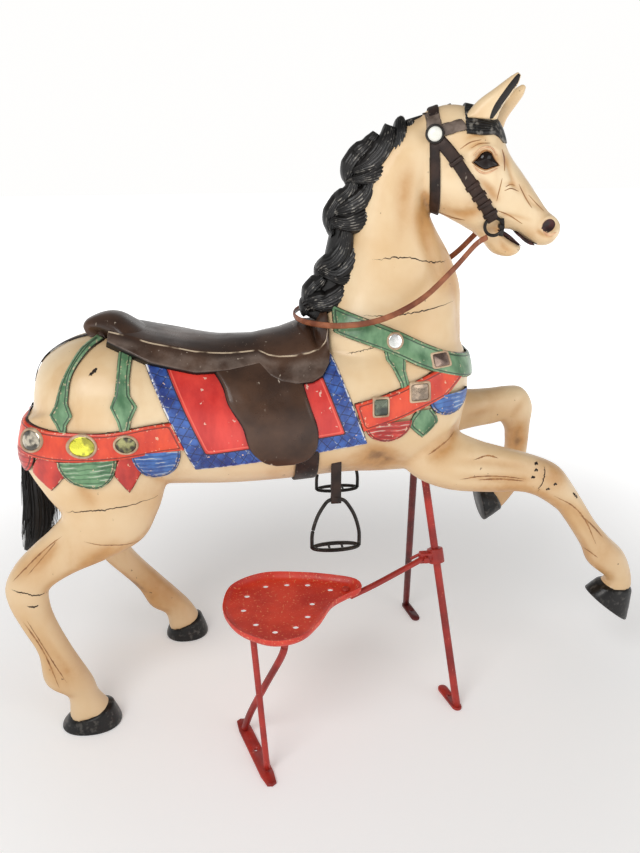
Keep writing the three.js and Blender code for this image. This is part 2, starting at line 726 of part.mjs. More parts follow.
// Stirrups on short leathers
const STIRRUP = { nearX: 14, farX: 62, y: 140, barZ: 516, treadZ: 404, wire: 7 };
const TREAD = { outer: [53, 19], inner: [44, 10], thickness: 6 };
const STIRRUP_LEATHER = { top: 622, halfThickness: 3, eyelet: 9.5, width: 21, neck: 0.38 };
// Half of the arch, as [distance from its middle, height]
const HALF_ARCH = [[51, 404], [50, 439], [40, 476], [25, 504], [14, 516], [5, 516]];

function stirrupX(side) {
  return side === NEAR ? STIRRUP.nearX : STIRRUP.farX;
}

function stirrupIron(side) {
  const { y, treadZ, wire } = STIRRUP;
  const x = stirrupX(side);
  const place = ([dx, z]) => [x + dx, side * y, z];
  const mirror = ([dx, z]) => [-dx, z];
  const arch = [...HALF_ARCH.map(mirror).map(place), ...HALF_ARCH.toReversed().map(place)];
  const tread = new THREE.Shape();
  tread.absellipse(0, 0, ...TREAD.outer, 0, 2 * Math.PI);
  const opening = new THREE.Path();
  opening.absellipse(0, 0, ...TREAD.inner, 0, 2 * Math.PI);
  tread.holes.push(opening);
  const options = { depth: TREAD.thickness, bevelEnabled: false, curveSegments: 6 };
  const plate = new THREE.ExtrudeGeometry(tread, options);
  plate.translate(x, side * y, treadZ - TREAD.thickness / 2);
  return geometryOf(join([bar(arch, wire, 6, 18), plate]));
}

function stirrupLeather(side, horse) {
  const { y, barZ, wire } = STIRRUP;
  const { top, halfThickness, eyelet, width, neck } = STIRRUP_LEATHER;
  const outline = new THREE.Shape();
  outline.moveTo(-halfThickness, top - barZ);
  outline.lineTo(-halfThickness, eyelet);
  outline.absarc(0, 0, eyelet, Math.PI * (1 - neck), Math.PI * (2 + neck), false);
  outline.lineTo(halfThickness, eyelet);
  outline.lineTo(halfThickness, top - barZ);
  const eye = new THREE.Path();
  eye.absarc(0, 0, wire / 2 + 2, 0, 2 * Math.PI);
  outline.holes.push(eye);
  const options = { depth: width, bevelEnabled: false, curveSegments: 10 };
  const loop = new THREE.ExtrudeGeometry(outline, options);
  loop.translate(0, 0, -width / 2).rotateX(Math.PI / 2).rotateZ(Math.PI / 2);
  return geometryOf(clearOf(solidOf(loop.translate(stirrupX(side), side * y, barZ)), horse));
}

// Mirror jewels let into the straps of the decorated side: half sizes along the strap and across it
const OVAL = "oval";
const SQUARE = "square";
const JEWELS = [
  { name: "jewel_oval_rear", s: -556, z: 686, half: [18, 20], form: OVAL },
  { name: "jewel_oval_middle", s: -478, z: 678, half: [22, 21], form: OVAL },
  { name: "jewel_oval_front", s: -399, z: 679, half: [21, 18], form: OVAL },
  { name: "jewel_round_breast", s: 132, z: 850, half: [15, 15], form: OVAL },
  { name: "jewel_square_breast", s: 223, z: 808, half: [18, 13], form: SQUARE },
  { name: "jewel_square_chest_rear", s: 98, z: 728, half: [15, 18], form: SQUARE },
  { name: "jewel_square_chest_front", s: 176, z: 752, half: [17, 18], form: SQUARE },
];
const JEWEL_DEPTH = 7;
const JEWEL_SINK = 1.5;

function jewelPrism({ s, z, half, form }, margin) {
  const [a, b] = half.map((h) => h + margin);
  const shape = new THREE.Shape();
  if (form === OVAL) {
    shape.absellipse(0, 0, a, b, 0, 2 * Math.PI);
  } else {
    shape.moveTo(-a, -b);
    shape.lineTo(a, -b);
    shape.lineTo(a, b);
    shape.lineTo(-a, b);
  }
  const depth = JEWEL_DEPTH + 2 * margin;
  const prism = new THREE.ExtrudeGeometry(shape, { depth, bevelEnabled: false, curveSegments: 7 });
  prism.translate(0, 0, -depth / 2);
  const reach = 12;
  const near = (ds, dz) => flank(s + ds, z + dz, NEAR, STRAP_RISE);
  const centre = flank(s, z, NEAR, STRAP_RISE - JEWEL_SINK);
  const ahead = near(reach, 0).sub(near(-reach, 0)).normalize();
  const upward = near(0, reach).sub(near(0, -reach)).normalize();
  const out = new THREE.Vector3().crossVectors(ahead, upward).normalize();
  const frame = new THREE.Matrix4().makeBasis(ahead, new THREE.Vector3().crossVectors(out, ahead), out);
  return prism.applyMatrix4(frame).translate(centre.x, centre.y, centre.z);
}

// Iron stand: two splayed rods let into the chest
const RODS = [
  { name: "stand_leg_near", top: [226, -22, 560], foot: [287, -210, 4], toe: [272, -146] },
  { name: "stand_leg_far", top: [224, 22, 560], foot: [268, 202, 4], toe: [279, 140] },
];
const PLATE_HALF_WIDTH = 11;
const PLATE_HOLE = { at: 0.55, diameter: 7 };

// Flat bar on the floor with round ends and a hole: from and to in plan
function floorPlate(from, to, half, hole) {
  const length = Math.hypot(to[0] - from[0], to[1] - from[1]);
  const shape = new THREE.Shape();
  shape.absarc(length, 0, half, -Math.PI / 2, Math.PI / 2, false);
  shape.absarc(0, 0, half, Math.PI / 2, (3 * Math.PI) / 2, false);
  const opening = new THREE.Path();
  opening.absarc(length * hole.at, 0, hole.diameter / 2, 0, 2 * Math.PI);
  shape.holes.push(opening);
  const options = { depth: PLATE_THICKNESS, bevelEnabled: false, curveSegments: 4 };
  const plate = new THREE.ExtrudeGeometry(shape, options);
  const heading = Math.atan2(to[1] - from[1], to[0] - from[0]);
  return plate.rotateZ(heading).translate(from[0], from[1], 0);
}

function standLeg({ top, foot, toe }) {
  const plate = floorPlate([foot[0], foot[1]], toe, PLATE_HALF_WIDTH, PLATE_HOLE);
  return geometryOf(join([bar([top, foot], ROD_DIAMETER, 10, 1), plate]));
}

// Socket for a rod in the chest
function rodSocket({ top, foot }) {
  const upper = new THREE.Vector3(...top);
  const axis = upper.clone().sub(new THREE.Vector3(...foot)).normalize();
  const end = upper.clone().addScaledVector(axis, GAP);
  return solidOf(bar([end.toArray(), foot], ROD_DIAMETER + 3 * GAP, 10, 1));
}

// Clamp on the near rod, with its bolt and lever, holding the seat's arm
const CLAMP_SHARE = 0.4;
const COLLAR = { radius: 18, height: 34 };
const LUG = { size: [30, 18, 26], place: [-24, -4, 0] };
const CLAMP_BOLT = { radius: 8, length: 10, place: [-26, -17, 0] };
const LEVER = { line: [[-36, 0, 6], [-46, 2, 0], [-58, 2, -6]], diameter: 7 };
const ARM = [[236, -98, 340], [160, -136, 328], [95, -164, 315], [40, -182, 303]];

function clampCentre() {
  const [near] = RODS;
  return new THREE.Vector3(...near.top).lerp(new THREE.Vector3(...near.foot), CLAMP_SHARE);
}

function standClamp() {
  const [near] = RODS;
  const axis = new THREE.Vector3(...near.top).sub(new THREE.Vector3(...near.foot)).normalize();
  const centre = clampCentre();
  const tilt = new THREE.Quaternion().setFromUnitVectors(new THREE.Vector3(0, 1, 0), axis);
  const collar = new THREE.CylinderGeometry(COLLAR.radius, COLLAR.radius, COLLAR.height, 10);
  collar.applyQuaternion(tilt);
  const lug = new THREE.BoxGeometry(...LUG.size).translate(...LUG.place);
  const bolt = new THREE.CylinderGeometry(CLAMP_BOLT.radius, CLAMP_BOLT.radius, CLAMP_BOLT.length, 6);
  bolt.rotateX(Math.PI / 2).translate(...CLAMP_BOLT.place);
  const lever = bar(LEVER.line, LEVER.diameter, 6, 4);
  const solid = join([collar, lug, bolt, lever].map((g) => g.translate(centre.x, centre.y, centre.z)));
  const bore = solidOf(bar([near.top, near.foot], ROD_DIAMETER + 3 * GAP, 10, 1));
  const socket = solidOf(bar(ARM, ARM_DIAMETER + 3 * GAP, 8, 5));
  return geometryOf(outerBody(solid.subtract(bore).subtract(socket)));
}

// Pear-shaped seat pan: outline from its centre
const SEAT_OUTLINE = [
  [-232, -216], [-210, -146], [-143, -109], [-61, -117], [13, -139], [56, -162], [62, -194], [34, -212],
  [-6, -242], [-42, -301], [-84, -346], [-140, -355], [-195, -320], [-224, -272],
];
const SEAT_HOLES = [
  [-138, -140], [-92, -140], [-48, -147], [-2, -172], [-180, -172], [-190, -222],
  [-168, -274], [-132, -304], [-90, -294], [-62, -262], [-47, -218],
];

// Section of the pan from its middle out over the rim and back below: [share of the outline, height]
const SEAT_SECTION = [
  [0.3, SEAT_HEIGHT],
  [0.9, SEAT_HEIGHT + 2],
  [0.96, SEAT_HEIGHT + 7],
  [0.985, SEAT_HEIGHT + SEAT_LIP],
  [1, SEAT_HEIGHT + SEAT_LIP - 1],
  [0.99, SEAT_HEIGHT + 4],
  [0.92, SEAT_HEIGHT - SEAT_THICKNESS + 1],
  [0.3, SEAT_HEIGHT - SEAT_THICKNESS],
];
const SEAT_HOLE = { radius: 6.5, drill: 40 };

function seatPan() {
  const corners = SEAT_OUTLINE.map(([x, y]) => new THREE.Vector3(x, y, 0));
  const outline = new THREE.CatmullRomCurve3(corners, true, "catmullrom", 0.5);
  const sides = 24;
  const rim = outline.getSpacedPoints(sides).slice(0, sides);
  const middle = new THREE.Vector3(...SEAT_CENTRE, 0);
  const ring = ([share, z]) => rim.map((p) => middle.clone().lerp(p, share).setZ(z));
  const pan = skinRings(SEAT_SECTION.map(ring));
  const drill = ([x, y]) => {
    const { radius, drill: depth } = SEAT_HOLE;
    const hole = new THREE.CylinderGeometry(radius, radius, depth, 6).rotateX(Math.PI / 2);
    return solidOf(hole.translate(x, y, SEAT_HEIGHT));
  };
  return geometryOf(SEAT_HOLES.map(drill).reduce((solid, hole) => solid.subtract(hole), solidOf(pan)));
}

const SEAT_UNDERSIDE = SEAT_HEIGHT - SEAT_THICKNESS - GAP;
const LEG_FOOT = PLATE_THICKNESS + 3;
const STRAIGHT_LEG = [[-176, -300, SEAT_UNDERSIDE - 2], [-158, -342, LEG_FOOT]];
const CURVED_LEG = [
  [-112, -310, SEAT_UNDERSIDE - 2], [-118, -302, 262], [-148, -268, 170],
  [-182, -235, 70], [-198, -218, LEG_FOOT],
];
const FOOT_BAR = { from: [-202, -196], to: [-154, -368], half: 14, hole: { at: 0.5, diameter: 9 } };

const part = new THREE.Group();
const datum = new THREE.Group();
datum.position.set(-ORIGIN.x, -ORIGIN.y, 0);
part.add(datum);

function addNode(name, geometry, material) {
  const mesh = new THREE.Mesh(geometry, material);
  mesh.name = name;
  datum.add(mesh);
}

const carved = carvedHorse();
const socketed = [...RODS.map(rodSocket), ...JEWELS.map((j) => solidOf(jewelPrism(j, GAP)))];
const horse = geometryOf(outerBody(socketed.reduce((solid, cut) => solid.subtract(cut), carved)));
addNode("horse", horse, woodPaint);
addNode("tail", geometryOf(clearOf(solidOf(limb(TAIL, 10, 1)), horse)), hair);
addNode("bridle", geometryOf(bridle()), leather);
for (const [side, name] of [[NEAR, "near"], [FAR, "far"]]) {
  addNode(`rosette_${name}`, rosette(side), whiteEnamel);
  addNode(`bit_ring_${name}`, bitRing(side), blackIron);
  addNode(`stirrup_leather_${name}`, stirrupLeather(side, horse), leather);
  addNode(`stirrup_iron_${name}`, stirrupIron(side), blackIron);
}
addNode("reins", reins(), reinLeather);
JEWELS.forEach((j) => addNode(j.name, jewelPrism(j, 0), mirrorGlass));
RODS.forEach((rod) => addNode(rod.name, standLeg(rod), redIron));
addNode("stand_clamp", standClamp(), redIron);
addNode("seat_arm", bar(ARM, ARM_DIAMETER, 8, 5), redIron);
addNode("tractor_seat", seatPan(), redIron);
addNode("seat_leg_straight", bar(STRAIGHT_LEG, ARM_DIAMETER, 10, 1), redIron);
addNode("seat_leg_curved", bar(CURVED_LEG, ARM_DIAMETER + 2, 8, 9), redIron);
addNode("seat_foot_bar", floorPlate(FOOT_BAR.from, FOOT_BAR.to, FOOT_BAR.half, FOOT_BAR.hole), redIron);

export default part;
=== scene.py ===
"""Carousel horse on its stand: surfaces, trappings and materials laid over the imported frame."""
import math

import bmesh
import bpy
import numpy as np
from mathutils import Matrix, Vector
from mathutils.bvhtree import BVHTree


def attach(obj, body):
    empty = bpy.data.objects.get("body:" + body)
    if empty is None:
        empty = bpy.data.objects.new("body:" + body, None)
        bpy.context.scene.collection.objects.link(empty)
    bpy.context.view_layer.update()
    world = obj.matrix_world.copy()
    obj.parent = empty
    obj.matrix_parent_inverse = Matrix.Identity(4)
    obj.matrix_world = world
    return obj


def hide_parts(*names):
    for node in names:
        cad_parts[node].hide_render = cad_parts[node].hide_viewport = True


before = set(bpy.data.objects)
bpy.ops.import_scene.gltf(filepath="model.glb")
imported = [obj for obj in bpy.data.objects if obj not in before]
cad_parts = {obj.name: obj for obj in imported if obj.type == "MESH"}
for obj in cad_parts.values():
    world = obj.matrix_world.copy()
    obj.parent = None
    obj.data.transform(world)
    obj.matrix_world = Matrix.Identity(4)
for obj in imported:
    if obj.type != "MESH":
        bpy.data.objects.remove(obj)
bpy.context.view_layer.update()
scene = bpy.context.scene

# Places are in millimetres from the working datum, as in the part's source
ORIGIN = np.array([28.0, -83.5, 0.0])
MM = 0.001
NEAR = -1
FAR = 1
HEAD_TURN = math.radians(12)
POLL_X = 190.0
ROUNDNESS = 2.3


def to_row(points):
    return (np.asarray(points, float) - ORIGIN) * MM


def to_datum(points):
    return np.asarray(points, float) / MM + ORIGIN


# Camera at the photograph's viewing angle
CAMERA_PLACE = (-227.7, -1620.1, 1274.0)
CAMERA_YAW = math.radians(8)
CAMERA_PITCH = math.radians(21.6)
LENS = 33.76
SENSOR = 36.0

camera = bpy.data.objects.new("camera", bpy.data.cameras.new("camera"))
camera.data.lens = LENS
camera.data.sensor_width = SENSOR
camera.location = to_row(CAMERA_PLACE)
camera.rotation_euler = (math.pi / 2 - CAMERA_PITCH, 0, -CAMERA_YAW)
scene.collection.objects.link(camera)
scene.camera = camera


# Curves, lofts and objects
def smooth_line(points, count):
    """Catmull-Rom curve through the points."""
    p = np.array(points, float)
    p = np.vstack([2 * p[0] - p[1], p, 2 * p[-1] - p[-2]])
    t = np.linspace(0, len(points) - 1, count)
    i = np.minimum(t.astype(int), len(points) - 2)
    f = (t - i)[:, None]
    a, b, c, d = p[i], p[i + 1], p[i + 2], p[i + 3]
    return 0.5 * (2 * b + (c - a) * f + (2 * a - 5 * b + 4 * c - d) * f**2 + (3 * b - a - 3 * c + d) * f**3)


def oval(sides, roundness=ROUNDNESS):
    angle = 2 * np.pi * (np.arange(sides) + 0.5) / sides
    c, s = np.cos(angle), np.sin(angle)
    power = 2 / roundness
    return np.sign(c) * np.abs(c) ** power, np.sign(s) * np.abs(s) ** power


def loft(stations, sides=40, per_station=6):
    """Rings over stations [topX, topZ, bottomX, bottomZ, y, halfWidth]."""
    line = smooth_line(stations, (len(stations) - 1) * per_station + 1)
    c, s = oval(sides)
    tx, tz, bx, bz, y, half = line.T
    half = np.maximum(half, 3)
    rings = np.empty((len(line), sides, 3))
    rings[..., 0] = ((tx + bx) / 2)[:, None] + np.outer((tx - bx) / 2, s)
    rings[..., 1] = y[:, None] + np.outer(half, c)
    rings[..., 2] = ((tz + bz) / 2)[:, None] + np.outer((tz - bz) / 2, s)
    return rings


def skin_rings(rings, caps=True):
    count, sides = rings.shape[:2]
    points = rings.reshape(-1, 3)
    faces = []
    for r in range(count - 1):
        for i in range(sides):
            a, b = r * sides + i, r * sides + (i + 1) % sides
            faces.append((a, b, b + sides, a + sides))
    if caps:
        points = np.vstack([points, rings[0].mean(0), rings[-1].mean(0)])
        for i in range(sides):
            j = (i + 1) % sides
            faces.append((count * sides, j, i))
            faces.append((count * sides + 1, (count - 1) * sides + i, (count - 1) * sides + j))
    return points, faces


def merge(parts):
    points, faces, start = [], [], 0
    for part_points, part_faces in parts:
        points.append(np.asarray(part_points, float))
        faces.extend(tuple(i + start for i in face) for face in part_faces)
        start += len(part_points)
    return np.vstack(points), faces


def directions(line):
    """Unit directions along a line."""
    tangent = np.gradient(line, axis=0)
    return tangent / np.linalg.norm(tangent, axis=1)[:, None]


def around(sides):
    """Columns of cosines and sines, once round."""
    angle = 2 * np.pi * np.arange(sides) / sides
    return np.cos(angle)[:, None], np.sin(angle)[:, None]


def grid_faces(count, rows, start=0):
    corners = [start + i * rows + j for i in range(count - 1) for j in range(rows - 1)]
    return [(a, a + 1, a + rows + 1, a + rows) for a in corners]


def mesh_of(name, shape):
    """Mesh in the row's frame, with its faces turned outwards."""
    points, faces = shape
    mesh = bpy.data.meshes.new(name)
    mesh.from_pydata(to_row(points).tolist(), [], [tuple(map(int, f)) for f in faces])
    work = bmesh.new()
    work.from_mesh(mesh)
    bmesh.ops.recalc_face_normals(work, faces=work.faces)
    work.to_mesh(mesh)
    work.free()
    return mesh


def set_values(mesh, key, numbers):
    mesh.attributes.new(key, "FLOAT", "POINT").data.foreach_set("value", np.asarray(numbers, np.float32))


def even(shape, **levels):
    """The same values at every point of a shape."""
    return {key: np.full(len(shape[0]), level) for key, level in levels.items()}


def add_piece(name, mesh, material, replaces):
    """Object with its material and body, hiding the nodes that it stands for."""
    mesh.polygons.foreach_set("use_smooth", [True] * len(mesh.polygons))
    mesh.materials.clear()
    mesh.materials.append(material)
    piece = bpy.data.objects.new(name, mesh)
    scene.collection.objects.link(piece)
    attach(piece, "root")
    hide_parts(*replaces)
    return piece


def build(name, shape, material, replaces, values=None):
    mesh = mesh_of(name, shape)
    for key, numbers in (values or {}).items():
        set_values(mesh, key, numbers)
    return add_piece(name, mesh, material, replaces)


def carved(name, shape, material, values=None):
    """Piece that is carved from the horse's own wood."""
    return build(name, shape, material, ("horse",), values)


def tube(points, radius, sides, count, flat=1.0):
    """Bar along a curve; flat squeezes the section in the direction square to Z and the path."""
    line = smooth_line(points, count)
    tangent = directions(line)
    up = np.array([0.0, 0.0, 1.0]) - tangent * tangent[:, 2:3]
    weak = np.linalg.norm(up, axis=1) < 0.2
    up[weak] = np.array([1.0, 0.0, 0.0]) - tangent[weak] * tangent[weak, 0:1]
    up /= np.linalg.norm(up, axis=1)[:, None]
    side = np.cross(tangent, up)
    radii = np.broadcast_to(np.asarray(radius, float), (len(line),))[:, None, None]
    c, s = around(sides)
    return skin_rings(line[:, None] + radii * (c * side[:, None] * flat + s * up[:, None]))


# Shader nodes
def add(tree, kind, inputs=None, **settings):
    made = tree.nodes.new(kind)
    for key, value in settings.items():
        setattr(made, key, value)
    for key, value in (inputs or {}).items():
        if isinstance(value, bpy.types.NodeSocket):
            tree.links.new(value, made.inputs[key])
        else:
            made.inputs[key].default_value = value
    return made


def maths(tree, operation, a, b=0.0, c=0.0):
    return add(tree, "ShaderNodeMath", {0: a, 1: b, 2: c}, operation=operation).outputs[0]


def step(tree, value, low, high):
    """Soft step from 0 at low to 1 at high."""
    inputs = {"Value": value, "From Min": low, "From Max": high}
    return add(tree, "ShaderNodeMapRange", inputs, interpolation_type="SMOOTHSTEP").outputs["Result"]


def blend(tree, factor, a, b):
    made = add(tree, "ShaderNodeMix", {0: factor}, data_type="RGBA")
    for socket, value in ((made.inputs[6], a), (made.inputs[7], b)):
        if isinstance(value, bpy.types.NodeSocket):
            tree.links.new(value, socket)
        else:
            socket.default_value = (*value, 1.0)
    return made.outputs[2]


NOISE_ROUGHNESS = 0.55


def grain(tree, scale, detail=3.0, stretch=(1, 1, 1)):
    place = add(tree, "ShaderNodeTexCoord").outputs["Object"]
    mapped = add(tree, "ShaderNodeMapping", {"Vector": place, "Scale": stretch}).outputs[0]
    inputs = {"Vector": mapped, "Scale": scale, "Detail": detail, "Roughness": NOISE_ROUGHNESS}
    return add(tree, "ShaderNodeTexNoise", inputs).outputs["Fac"]


def attribute(tree, name):
    return add(tree, "ShaderNodeAttribute", attribute_name=name).outputs["Fac"]


def times(tree, a, b):
    return maths(tree, "MULTIPLY", a, b)


def band(tree, value, middle, wide, narrow):
    """1 where a value is close to the middle."""
    return step(tree, maths(tree, "ABSOLUTE", maths(tree, "SUBTRACT", value, middle)), wide, narrow)


def object_z(tree):
    place = add(tree, "ShaderNodeTexCoord").outputs["Object"]
    return add(tree, "ShaderNodeSeparateXYZ", {0: place}).outputs[2]


def srgb(r, g, b):
    return tuple(((v / 255 + 0.055) / 1.055) ** 2.4 for v in (r, g, b))


def dimmed(colour, share):
    return tuple(v * share for v in colour)


# Plain pale floor and soft studio light, in metres
FLOOR_HALF = 12.0
FLOOR_Z = -0.0005
FLOOR_COLOUR = (0.9, 0.9, 0.9, 1)
FLOOR_ROUGHNESS = 0.9
FLOOR_GLOW = {"From Min": 0.5, "From Max": 2.6, "To Min": 0.2, "To Max": 0.95}
SKY_LEVEL = {"From Min": 0.12, "From Max": 0.5, "To Min": 1.0, "To Max": 0.3}
SKY_COLOUR = (1.0, 0.995, 0.985, 1)
# Name, place, target, size and power in watts
LIGHTS = [
    ("key", (-1.8, -2.2, 3.0), (0, 0, 0.6), 2.0, 54),
    ("fill", (2.4, -2.4, 2.0), (0, 0, 0.7), 2.2, 16),
]


def area_light(name, place, target, size, watts):
    light = bpy.data.lights.new(name, "AREA")
    light.shape = "DISK"
    light.size = size
    light.energy = watts
    lamp = bpy.data.objects.new(name, light)
    lamp.location = place
    lamp.rotation_euler = (Vector(target) - Vector(place)).to_track_quat("-Z", "Y").to_euler()
    scene.collection.objects.link(lamp)


def floor():
    """Paper that glows softly towards its far edge, so that no horizon shows."""
    turns = ((-1, -1), (1, -1), (1, 1), (-1, 1))
    mesh = bpy.data.meshes.new("floor")
    mesh.from_pydata([(x * FLOOR_HALF, y * FLOOR_HALF, FLOOR_Z) for x, y in turns], [], [(0, 1, 2, 3)])
    paper = bpy.data.materials.new("floor_paper")
    paper.use_nodes = True
    tree = paper.node_tree
    shader = tree.nodes["Principled BSDF"]
    shader.inputs["Base Color"].default_value = FLOOR_COLOUR
    shader.inputs["Roughness"].default_value = FLOOR_ROUGHNESS
    shader.inputs["Emission Color"].default_value = (1, 1, 1, 1)
    place = add(tree, "ShaderNodeTexCoord").outputs["Object"]
    reach = add(tree, "ShaderNodeVectorMath", {0: place}, operation="LENGTH").outputs["Value"]
    glow = add(tree, "ShaderNodeMapRange", {"Value": reach, **FLOOR_GLOW}, interpolation_type="SMOOTHSTEP")
    tree.links.new(glow.outputs[0], shader.inputs["Emission Strength"])
    mesh.materials.append(paper)
    made = bpy.data.objects.new("floor", mesh)
    scene.collection.objects.link(made)


def sky():
    """White light, brightest near the horizon."""
    world = bpy.data.worlds.new("studio")
    world.use_nodes = True
    tree = world.node_tree
    shader = tree.nodes["Background"]
    direction = add(tree, "ShaderNodeTexCoord").outputs["Generated"]
    height = maths(tree, "ABSOLUTE", add(tree, "ShaderNodeSeparateXYZ", {0: direction}).outputs[2])
    level = add(tree, "ShaderNodeMapRange", {"Value": height, **SKY_LEVEL}, interpolation_type="SMOOTHSTEP")
    tree.links.new(level.outputs[0], shader.inputs["Strength"])
    shader.inputs["Color"].default_value = SKY_COLOUR
    scene.world = world


floor()
sky()
for item in LIGHTS:
    area_light(*item)
scene.view_settings.view_transform = "Standard"


COAT_ROUGHNESS = 0.15
BUMP_DISTANCE = 0.001


class Finish:
    """Material with a principled shader, coloured by layers."""

    def __init__(self, name, metallic=0.0, coat=0.0, specular=0.5):
        self.material = bpy.data.materials.new(name)
        self.material.use_nodes = True
        self.tree = self.material.node_tree
        self.shader = self.tree.nodes["Principled BSDF"]
        self.shader.inputs["Metallic"].default_value = metallic
        self.shader.inputs["Specular IOR Level"].default_value = specular
        self.shader.inputs["Coat Weight"].default_value = coat
        self.shader.inputs["Coat Roughness"].default_value = COAT_ROUGHNESS
        self.colour = None

    def base(self, dark, light, factor):
        self.colour = blend(self.tree, factor, dark, light)

    def layer(self, factor, colour, strength=1.0):
        if strength != 1.0:
            factor = times(self.tree, factor, strength)
        self.colour = blend(self.tree, factor, self.colour, colour)

    def rough(self, low, high, scale):
        levels = {"From Min": 0.3, "From Max": 0.7, "To Min": low, "To Max": high}
        made = add(self.tree, "ShaderNodeMapRange", {"Value": grain(self.tree, scale), **levels})
        self.tree.links.new(made.outputs[0], self.shader.inputs["Roughness"])

    def bump(self, height, strength):
        inputs = {"Height": height, "Strength": strength, "Distance": BUMP_DISTANCE}
        made = add(self.tree, "ShaderNodeBump", inputs)
        self.tree.links.new(made.outputs[0], self.shader.inputs["Normal"])

    def done(self):
        self.tree.links.new(self.colour, self.shader.inputs["Base Color"])
        return self.material


CREAM_LIGHT = srgb(232, 208, 170)
CREAM = srgb(218, 184, 138)
OCHRE = srgb(190, 138, 78)
UMBER = srgb(96, 62, 34)
DARK = srgb(34, 24, 18)
WORN = srgb(226, 196, 160)


def cream_paint():
    f = Finish("cream_paint", coat=0.25)
    t = f.tree
    f.base(CREAM, CREAM_LIGHT, step(t, grain(t, 5, 4), 0.35, 0.65))
    f.layer(step(t, grain(t, 14, 5, (1, 1, 0.35)), 0.52, 0.78), OCHRE, 0.35)
    # Darker towards the bottom: painted shade on the lower body and legs
    f.layer(step(t, object_z(t), 0.66, 0.4), OCHRE, 0.3)
    # Painted shade from the skin's shade values: ochre, and umber where it is deepest
    painted_shade = times(t, attribute(t, "shade"), maths(t, "ADD", grain(t, 40, 4), 0.5))
    f.layer(step(t, painted_shade, 0.05, 1.1), OCHRE, 0.9)
    f.layer(step(t, painted_shade, 0.9, 1.8), UMBER, 0.7)
    f.layer(step(t, grain(t, 70, 2), 0.73, 0.77), UMBER, 0.7)
    f.rough(0.36, 0.52, 25)
    f.bump(grain(t, 220, 3, (1, 1, 0.25)), 0.16)
    return f.done()


RIPPLE_PITCH = 620.0
RIPPLE_LIGHT = srgb(214, 214, 196)


def trim_paint(name, dark, light, line=7.0, ripple=False, worn=0.5):
    """Painted carving with a tooled line inside its edge, darkened as painted shade in the groove, a dark
    outline that is partly a dark line and partly painted shadow at its base, and rubbed edges.
    """
    f = Finish(name, coat=0.3)
    t = f.tree
    edge = attribute(t, "edge")
    f.base(dark, light, step(t, grain(t, 34, 5, (1, 1, 0.5)), 0.3, 0.7))
    if ripple:
        drift = times(t, grain(t, 30, 3), 7.0)
        wave = maths(t, "SINE", maths(t, "ADD", times(t, object_z(t), RIPPLE_PITCH), drift))
        broken = step(t, grain(t, 60, 3, (0.4, 0.4, 1)), 0.45, 0.6)
        f.layer(times(t, step(t, wave, 0.55, 0.98), broken), RIPPLE_LIGHT, 0.6)
        f.layer(step(t, wave, -0.5, -0.98), dimmed(dark, 0.35), 0.5)
    # Painted shade in the tooled groove
    groove = band(t, edge, line, 1.8, 0.6)
    f.layer(groove, dimmed(dark, 0.22), 0.85)
    rubbed = step(t, grain(t, 150, 3), 0.62 - 0.12 * worn, 0.7 - 0.12 * worn)
    f.layer(times(t, step(t, edge, 4.8, 2.4), rubbed), WORN, 0.85)
    f.layer(times(t, band(t, edge, line + 2.4, 1.8, 0.6), rubbed), WORN, 0.5)
    f.layer(step(t, grain(t, 95, 2), 0.7, 0.73), WORN, 0.7)
    # Dark outline: partly a dark line, partly painted shadow where the carving meets the skin
    f.layer(step(t, edge, 1.9, 0.8), DARK)
    f.rough(0.3, 0.5, 30)
    f.bump(maths(t, "SUBTRACT", times(t, grain(t, 160, 3), 0.3), groove), 0.5)
    return f.done()


BLUE_DARK = srgb(18, 40, 112)
BLUE_LIGHT = srgb(58, 100, 178)
RED_DARK = srgb(188, 30, 26)
RED_LIGHT = srgb(226, 62, 50)
BORDER = 35.0
HATCH_PITCH = 21.0
HATCH_SLOPE = 0.75


def blanket_paint():
    """Red field in a hatched blue border."""
    f = Finish("blanket_paint", coat=0.35)
    t = f.tree
    edge = attribute(t, "edge")
    along = attribute(t, "along")
    f.base(RED_DARK, RED_LIGHT, step(t, grain(t, 22, 5, (1, 1, 0.3)), 0.3, 0.7))
    border = step(t, edge, BORDER + 0.6, BORDER - 0.6)
    f.layer(border, blend(t, step(t, grain(t, 30, 4), 0.3, 0.7), BLUE_DARK, BLUE_LIGHT))
    lines = 0.0
    for slope in (HATCH_SLOPE, -HATCH_SLOPE):
        wave = maths(t, "PINGPONG", maths(t, "MULTIPLY_ADD", edge, slope, along), HATCH_PITCH / 2)
        lines = maths(t, "MAXIMUM", lines, step(t, wave, 1.6, 0.6))
    hatch = times(t, lines, times(t, border, step(t, edge, 5.0, 6.0)))
    f.layer(hatch, srgb(12, 22, 66), 0.75)
    f.layer(times(t, hatch, step(t, grain(t, 70, 3), 0.55, 0.66)), srgb(190, 200, 220), 0.6)
    seam = band(t, edge, BORDER, 1.8, 0.7)
    f.layer(seam, srgb(60, 14, 20))
    f.layer(band(t, edge, BORDER + 5.5, 2.0, 0.7), srgb(238, 104, 84), 0.7)
    rubbed = step(t, grain(t, 120, 3), 0.44, 0.54)
    f.layer(times(t, step(t, edge, 5.0, 2.6), rubbed), srgb(226, 224, 222))
    f.layer(step(t, grain(t, 90, 2), 0.69, 0.72), srgb(226, 190, 170), 0.8)
    # Dark outline: partly a dark line, partly painted shadow where the blanket meets the skin
    f.layer(step(t, edge, 1.6, 0.7), DARK)
    f.rough(0.28, 0.48, 25)
    f.bump(maths(t, "SUBTRACT", times(t, grain(t, 140, 3), 0.3), maths(t, "MAXIMUM", hatch, seam)), 0.5)
    return f.done()


